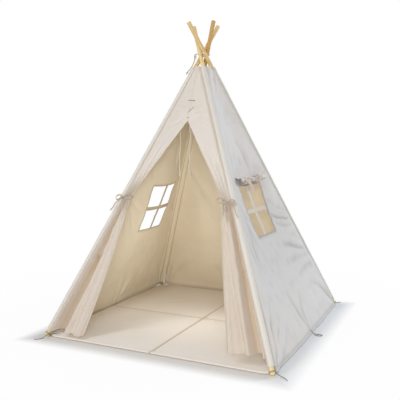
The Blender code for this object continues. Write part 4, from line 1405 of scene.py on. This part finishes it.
def make_mat():
    count, width = MAT_CELLS, MAT_CELLS + 1
    points = []
    for up in steps(-1, 1, count):
        for across in steps(-1, 1, count):
            x, y = mat_outline(across, up)
            outermost = max(abs(across), abs(up))
            z = MAT_EDGE_HEIGHT if outermost > 0.9999 else mat_height(across, up)
            if outermost <= 0.9999 and (1 - outermost) * MAT_HALF < 0.014:
                along_edge = x if abs(up) > abs(across) else y
                z = max(z, MAT_RIM_HEIGHT + 0.0006 * math.sin(along_edge * 260))
            points.append(Vector((x, y, z)))
    spots = [(point.x, point.y) for point in points]
    starts = [row * width + column for row in range(count) for column in range(count)]
    faces = [(start, start + 1, start + width + 1, start + width) for start in starts]
    last = width * width - 1
    edge = [*range(count), *range(count, last, width), *range(last, last - count, -1)]
    edge += range(last - count, 0, -width)
    previous = edge
    for height, grow in MAT_BINDING:
        ring = []
        for place, index in enumerate(edge):
            point = points[index]
            scale = 1 + (grow + 0.0006 * math.sin(place * 1.7)) / point.to_2d().length
            ring.append(len(points))
            points.append(Vector((point.x * scale, point.y * scale, height)))
            spots.append((point.x, point.y - 0.02))
        for step in range(len(edge)):
            after = (step + 1) % len(edge)
            faces.append((previous[step], ring[step], ring[after], previous[after]))
        previous = ring
    faces.append(tuple(previous[::-1]))
    # painted shade: along the quilting seams, round the bound rim, towards the back of the mat, and by its
    # sides where the walls shade it
    marks = []
    for point in points:
        seam = max(0.75 * bell(point.x, 0.005), 0.55 * bell(point.y, 0.005))
        rim = 0.75 * ease((0.0075 - point.z) / 0.004)
        shade_inside_tent = 0.34 * ease((point.y + 0.15) / 0.65)
        shade_inside_tent += 0.26 * ease((abs(point.x) - 0.42) / 0.17) * ease((point.y + 0.4) / 0.3)
        marks.append(max(seam, rim, shade_inside_tent))
    uvs = [spots[index] for face in faces for index in face]
    piece = add_mesh("padded_mat", points, faces, uvs, [MAT_CANVAS], sharp=70, hollow=marks)
    dress(piece, "mat", "padding", "floor_mat")

    def on_mat(across, up, least=0.0, lift=0.0003):
        return Vector((*mat_outline(across, up), max(mat_height(across, up), least) + lift))

    lines = []
    values = steps(-0.985, 0.985, 180)
    for aside in (-MAT_SEAM_APART / MAT_HALF, MAT_SEAM_APART / MAT_HALF):
        lines += [[on_mat(value, aside) for value in values], [on_mat(aside, value) for value in values]]
    rim, inset = [], 0.978
    for side in range(4):
        for value in steps(-inset, inset, 110)[:-1]:
            here = ((value, -inset), (inset, value), (-value, inset), (-inset, -value))[side]
            rim.append(on_mat(*here, 0.01, 0.0002))
    stitched("mat_stitches", lines + [rim + rim[:1]], "mat", pitch=0.0062, thread=0.0007)


# Cords


def lashing_route():
    """Round the crossing, in through each pole's hole and out through its neighbour's."""
    level = HUB - UP * LASHING_DROP
    side = {corner: side_of(corner) for corner in CORNERS}

    def pair(first, second):
        """In through one pole, past the middle, and out through the next."""
        inwards = (LASHING_REACH, 0.031, 0.0075)
        return ([level + side[first] * distance for distance in inwards]
                + [level + (side[first] + side[second]) * 0.0035]
                + [level + side[second] * distance for distance in inwards[::-1]])

    def arc(first, last):
        spread = side[first].angle(side[last])
        axis = side[first].cross(side[last]).normalized()
        turned = [Matrix.Rotation(spread * step / 3, 3, axis) @ side[first] for step in (1, 2)]
        return [level + way * LASHING_REACH for way in turned]

    return (pair("front_right", "front_left") + arc("front_left", "back_left")
            + pair("back_left", "back_right") + arc("back_right", "front_right"))


LASHING_TAIL = (
    (-0.0262, -0.0262, 1.447), (-0.0284, -0.0284, 1.4469), (-0.0306, -0.031, 1.443), (-0.033, -0.0337, 1.432),
    (-0.0352, -0.036, 1.419), (-0.0385, -0.039, 1.404), (-0.044, -0.043, 1.388), (-0.053, -0.0475, 1.372),
    (-0.066, -0.052, 1.356), (-0.076, -0.055, 1.34),
)
LASHING_KNOT = (
    (-0.031, -0.03, 1.444), (-0.038, -0.025, 1.4455), (-0.045, -0.02, 1.439), (-0.044, -0.019, 1.429),
    (-0.038, -0.023, 1.425), (-0.034, -0.029, 1.432), (-0.033, -0.033, 1.44), (-0.029, -0.037, 1.437),
    (-0.027, -0.039, 1.428), (-0.031, -0.036, 1.421), (-0.035, -0.031, 1.427), (-0.034, -0.029, 1.437),
)
# The door's lacing: (along, height, out from the cloth), negative where it runs behind
DOOR_LACE = (
    (-0.0195, 1.189, -0.002), (-0.017, 1.189, 0.001), (0.0, 1.1885, 0.0015), (0.017, 1.188, 0.001),
    (0.0195, 1.187, -0.004), (0.024, 1.171, -0.006), (0.0245, 1.156, -0.004), (0.022, 1.151, 0.001),
    (0.001, 1.133, 0.0015), (-0.018, 1.117, 0.001), (-0.021, 1.114, -0.004), (-0.018, 1.104, -0.006),
    (-0.01, 1.1, -0.003), (-0.006, 1.0985, 0.001), (0.004, 1.098, 0.001), (0.01, 1.0975, 0.0),
)
# Each lace end: where it hangs from, along and up the front, and its length
LACE_ENDS = {"lace_end_left": (-0.042, 1.043, 0.246), "lace_end_right": (0.0104, 1.072, 0.282)}
# The ties and loops: (out, sideways, height) from the pole's foot or the hem
CORNER_TIE_ON_MAT = ((-0.05, 0.0045, 0.0088), (-0.043, 0.0058, 0.0092), (-0.034, 0.0085, 0.0115),
                     (-0.024, 0.0112, 0.0165))
CORNER_TIE_TAIL = ((-0.002, 0.015, 0.0125), (0.008, 0.0205, 0.0085), (0.017, 0.027, 0.005),
                   (0.03, 0.033, 0.0026), (0.045, 0.0355, 0.002), (0.062, 0.0325, 0.002))
STAKE_LOOP = ((0.0005, 0.0, 0.0225), (0.0021, 0.0002, 0.0182), (0.0052, 0.0008, 0.012),
              (0.011, 0.003, 0.0066), (0.023, 0.0095, 0.0028), (0.037, 0.013, 0.002),
              (0.05, 0.0095, 0.002), (0.056, 0.001, 0.002), (0.051, -0.007, 0.002),
              (0.039, -0.0105, 0.002), (0.026, -0.008, 0.0024), (0.016, -0.0048, 0.0036))


def declared(name, route, diameter, material, body, far_end):
    """The rope that stands for a cord's node."""
    piece, path = cord_piece(name + "_rope", route, diameter, material, knot=far_end == "knot")
    dress(piece, body, "cord", name)
    length_of(path)


def make_cords():
    declared("lashing_cord", lashing_route(), LASHING_DIAMETER, CORD, "cover", "object")
    knot, _ = cord_piece("lashing_knot", LASHING_KNOT, LASHING_KNOT_DIAMETER, CORD)
    dress(knot, "cover", "cord")
    declared("lashing_tail", LASHING_TAIL, LASHING_DIAMETER, SHADED_CORD, "cover", "knot")
    lift = CLOTH + LACE_DIAMETER / 2
    route = [skin("front", along, height, lift + out) for along, height, out in DOOR_LACE]
    declared("door_lace", route, LACE_DIAMETER, SHADED_CORD, "cover", "object")
    for name, (along, height, length) in LACE_ENDS.items():
        inset = half_width("front", height) - abs(along)
        top = curtain_point(math.copysign(1, along), inset, height, 0.0004 + LACE_END_DIAMETER / 2)
        sway = INWARD * length * 0.02
        route = [top - UP * length * share + sway * math.sin(math.tau * share)
                 for share in (0, 0.12, 0.25, 0.4, 0.55, 0.7, 0.85, 1)]
        declared(name, route, LACE_END_DIAMETER, CORD, "cover", "knot")
    for corner in CORNERS:
        corner_tie(corner)
    for face in WINDOWED:
        hem = skin(face, 0, HEM_HEIGHT, CLOTH)
        _, level, outward, _ = face_frame(face, 0, HEM_HEIGHT)
        flat = Vector((outward.x, outward.y, 0)).normalized()
        route = [(hem + flat * out + level * sideways) * Vector((1, 1, 0)) + UP * height
                 for out, sideways, height in STAKE_LOOP]
        declared(f"stake_loop_{face}", route, TIE_DIAMETER, TIE_CORD, "cover", "bare")


def corner_tie(corner):
    """From the mat's corner, once round the pole's foot, and out over the floor."""
    foot, direction, across, forward = leg_frame(corner)
    x, y = CORNERS[corner]
    outward = Vector((x, y, 0)).normalized()
    aside = side_of(corner)
    radius = POLE_RADIUS + 0.0004 + TIE_DIAMETER / 2
    on_mat, over_floor = ([offset(foot, (outward, -aside, UP), stop) for stop in stops]
                          for stops in (CORNER_TIE_ON_MAT, CORNER_TIE_TAIL))
    winding = []
    for share in steps(0, 1, 12):
        turn = math.pi - math.tau * share
        spoke = round_spot(across, forward, turn)
        winding.append(foot + direction * (0.0225 - 0.0055 * share) + spoke * radius)
    declared("corner_tie_" + corner, on_mat + winding + over_floor, TIE_DIAMETER, TIE_CORD,
             "leg_" + corner, "bare")


# Everything in order: cords, poles and sleeves, cloth, padding, floor and light

make_cords()

for corner in CORNERS:
    sleeve(corner)
    pole_end(corner, False)
    pole_end(corner, True)
    for kind, numbers, material in (("pole", (2, 3), WOOD), ("ferrule", (1, 2, 3), STEEL)):
        for number in numbers:
            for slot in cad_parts[f"{kind}_{corner}_{number}"].material_slots:
                slot.material = material

for face, window in (("left", True), ("right", True), ("back", False)):
    for end in (-1, 1):
        piece = wall_half(face, end, window)
        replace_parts(piece, "wall_" + face)
        stitches = wall_stitches(face, end, window)
        area = 0.455 - (0.25 * window_reach(face, end) if window else 0.0)
        "sleeve_cloth_" + corner_at(face, end)
        if window:
            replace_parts(window_cross(face, end), "window_bars_" + face)
    if window:
        flap = rolled_flap(face)
        rearwards = 1 if face == "right" else -1
        for label, end in (("front", -rearwards), ("rear", rearwards)):
            roll_ribbon(face, label, window_shift(face) + end * (WINDOW_WIDTH / 2 - RIBBON_FROM_EDGE))

for side, label in SIDES.items():
    piece, grid, heights = front_panel(side)
    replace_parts(piece, "front_yoke", "curtain_" + label)
    stitches = front_stitches(side, grid, heights)
    tie_back(side)

make_mat()


def stage_floor():
    """A pale floor that shows as white to the camera, but for the part's shadow close to it."""
    bpy.ops.mesh.primitive_plane_add(size=60)
    floor = bpy.context.object
    floor.name = "studio_floor"
    finish = Finish("studio floor", 0.95)
    finish.set("Base Color", (0.86, 0.86, 0.86, 1.0))
    white = finish.add("ShaderNodeEmission", {}, {"Color": (1.0, 1.0, 1.0, 1.0), "Strength": 1.0}, "Emission")
    ray = finish.add("ShaderNodeLightPath", {}, {}, "Is Camera Ray")
    x, y, _ = finish.parts(finish.place())
    away = (((x * x + y * y) ** 0.5 - 0.75) * 0.9).clamped()
    past_mat = ((x.maths("ABSOLUTE").maths("MAXIMUM", y.maths("ABSOLUTE")) - 0.635) * 12.0).clamped()
    shown = ray * (past_mat * (0.95 + away * 0.05))
    lit = Wire(finish, finish.shader.outputs["BSDF"])
    mixed = finish.add("ShaderNodeMixShader", {}, {0: shown, 1: lit, 2: white}, "Shader")
    finish.tree.links.new(mixed.socket, finish.tree.nodes["Material Output"].inputs["Surface"])
    floor.data.materials.append(finish.material)


def lamp(name, place, target, size, power, colour):
    data = bpy.data.lights.new(name, "AREA")
    data.shape = "DISK"
    data.size = size
    data.energy = power
    data.color = colour
    aimed(name, data, place, target)


def world_light(strength):
    """Even light on the part, and plain white where the camera, a mirror or glass sees past it."""
    world = bpy.data.worlds.new("studio")
    bpy.context.scene.world = world
    world.use_nodes = True
    tree = world.node_tree
    tree.nodes.clear()
    rays = tree.nodes.new("ShaderNodeLightPath").outputs
    seen = rays["Is Camera Ray"]
    for name in ("Is Glossy Ray", "Is Transmission Ray"):
        either = tree.nodes.new("ShaderNodeMath")
        either.operation = "MAXIMUM"
        tree.links.new(seen, either.inputs[0])
        tree.links.new(rays[name], either.inputs[1])
        seen = either.outputs[0]
    mix = tree.nodes.new("ShaderNodeMixShader")
    tree.links.new(seen, mix.inputs[0])
    for place, value in ((1, strength), (2, 1.0)):
        back = tree.nodes.new("ShaderNodeBackground")
        back.inputs["Strength"].default_value = value
        back.inputs["Color"].default_value = (1.0, 1.0, 1.0, 1.0)
        tree.links.new(back.outputs[0], mix.inputs[place])
    out = tree.nodes.new("ShaderNodeOutputWorld")
    tree.links.new(mix.outputs[0], out.inputs[0])


stage_floor()
world_light(0.36)
lamp("large front lamp", (-2.2, -3.6, 3.8), (0.0, 0.0, 0.4), 1.8, 55, (1.0, 0.98, 0.955))
lamp("doorway lamp", (1.5, -3.6, 1.4), (-0.1, 0.0, 0.4), 1.2, 48, (1.0, 0.985, 0.96))
lamp("cool side lamp", (2.4, 3.0, 2.3), (0.2, 0.0, 0.6), 0.7, 77, (0.77, 0.87, 1.0))
glow = bpy.data.lights.new("light through the cover", "POINT")
glow.energy = 1.6
glow.shadow_soft_size = 0.2
glow.color = (1.0, 0.97, 0.92)
inside = bpy.data.objects.new("light through the cover", glow)
inside.location = (0.0, -0.12, 0.36)
inside.visible_camera = False
bpy.context.scene.collection.objects.link(inside)
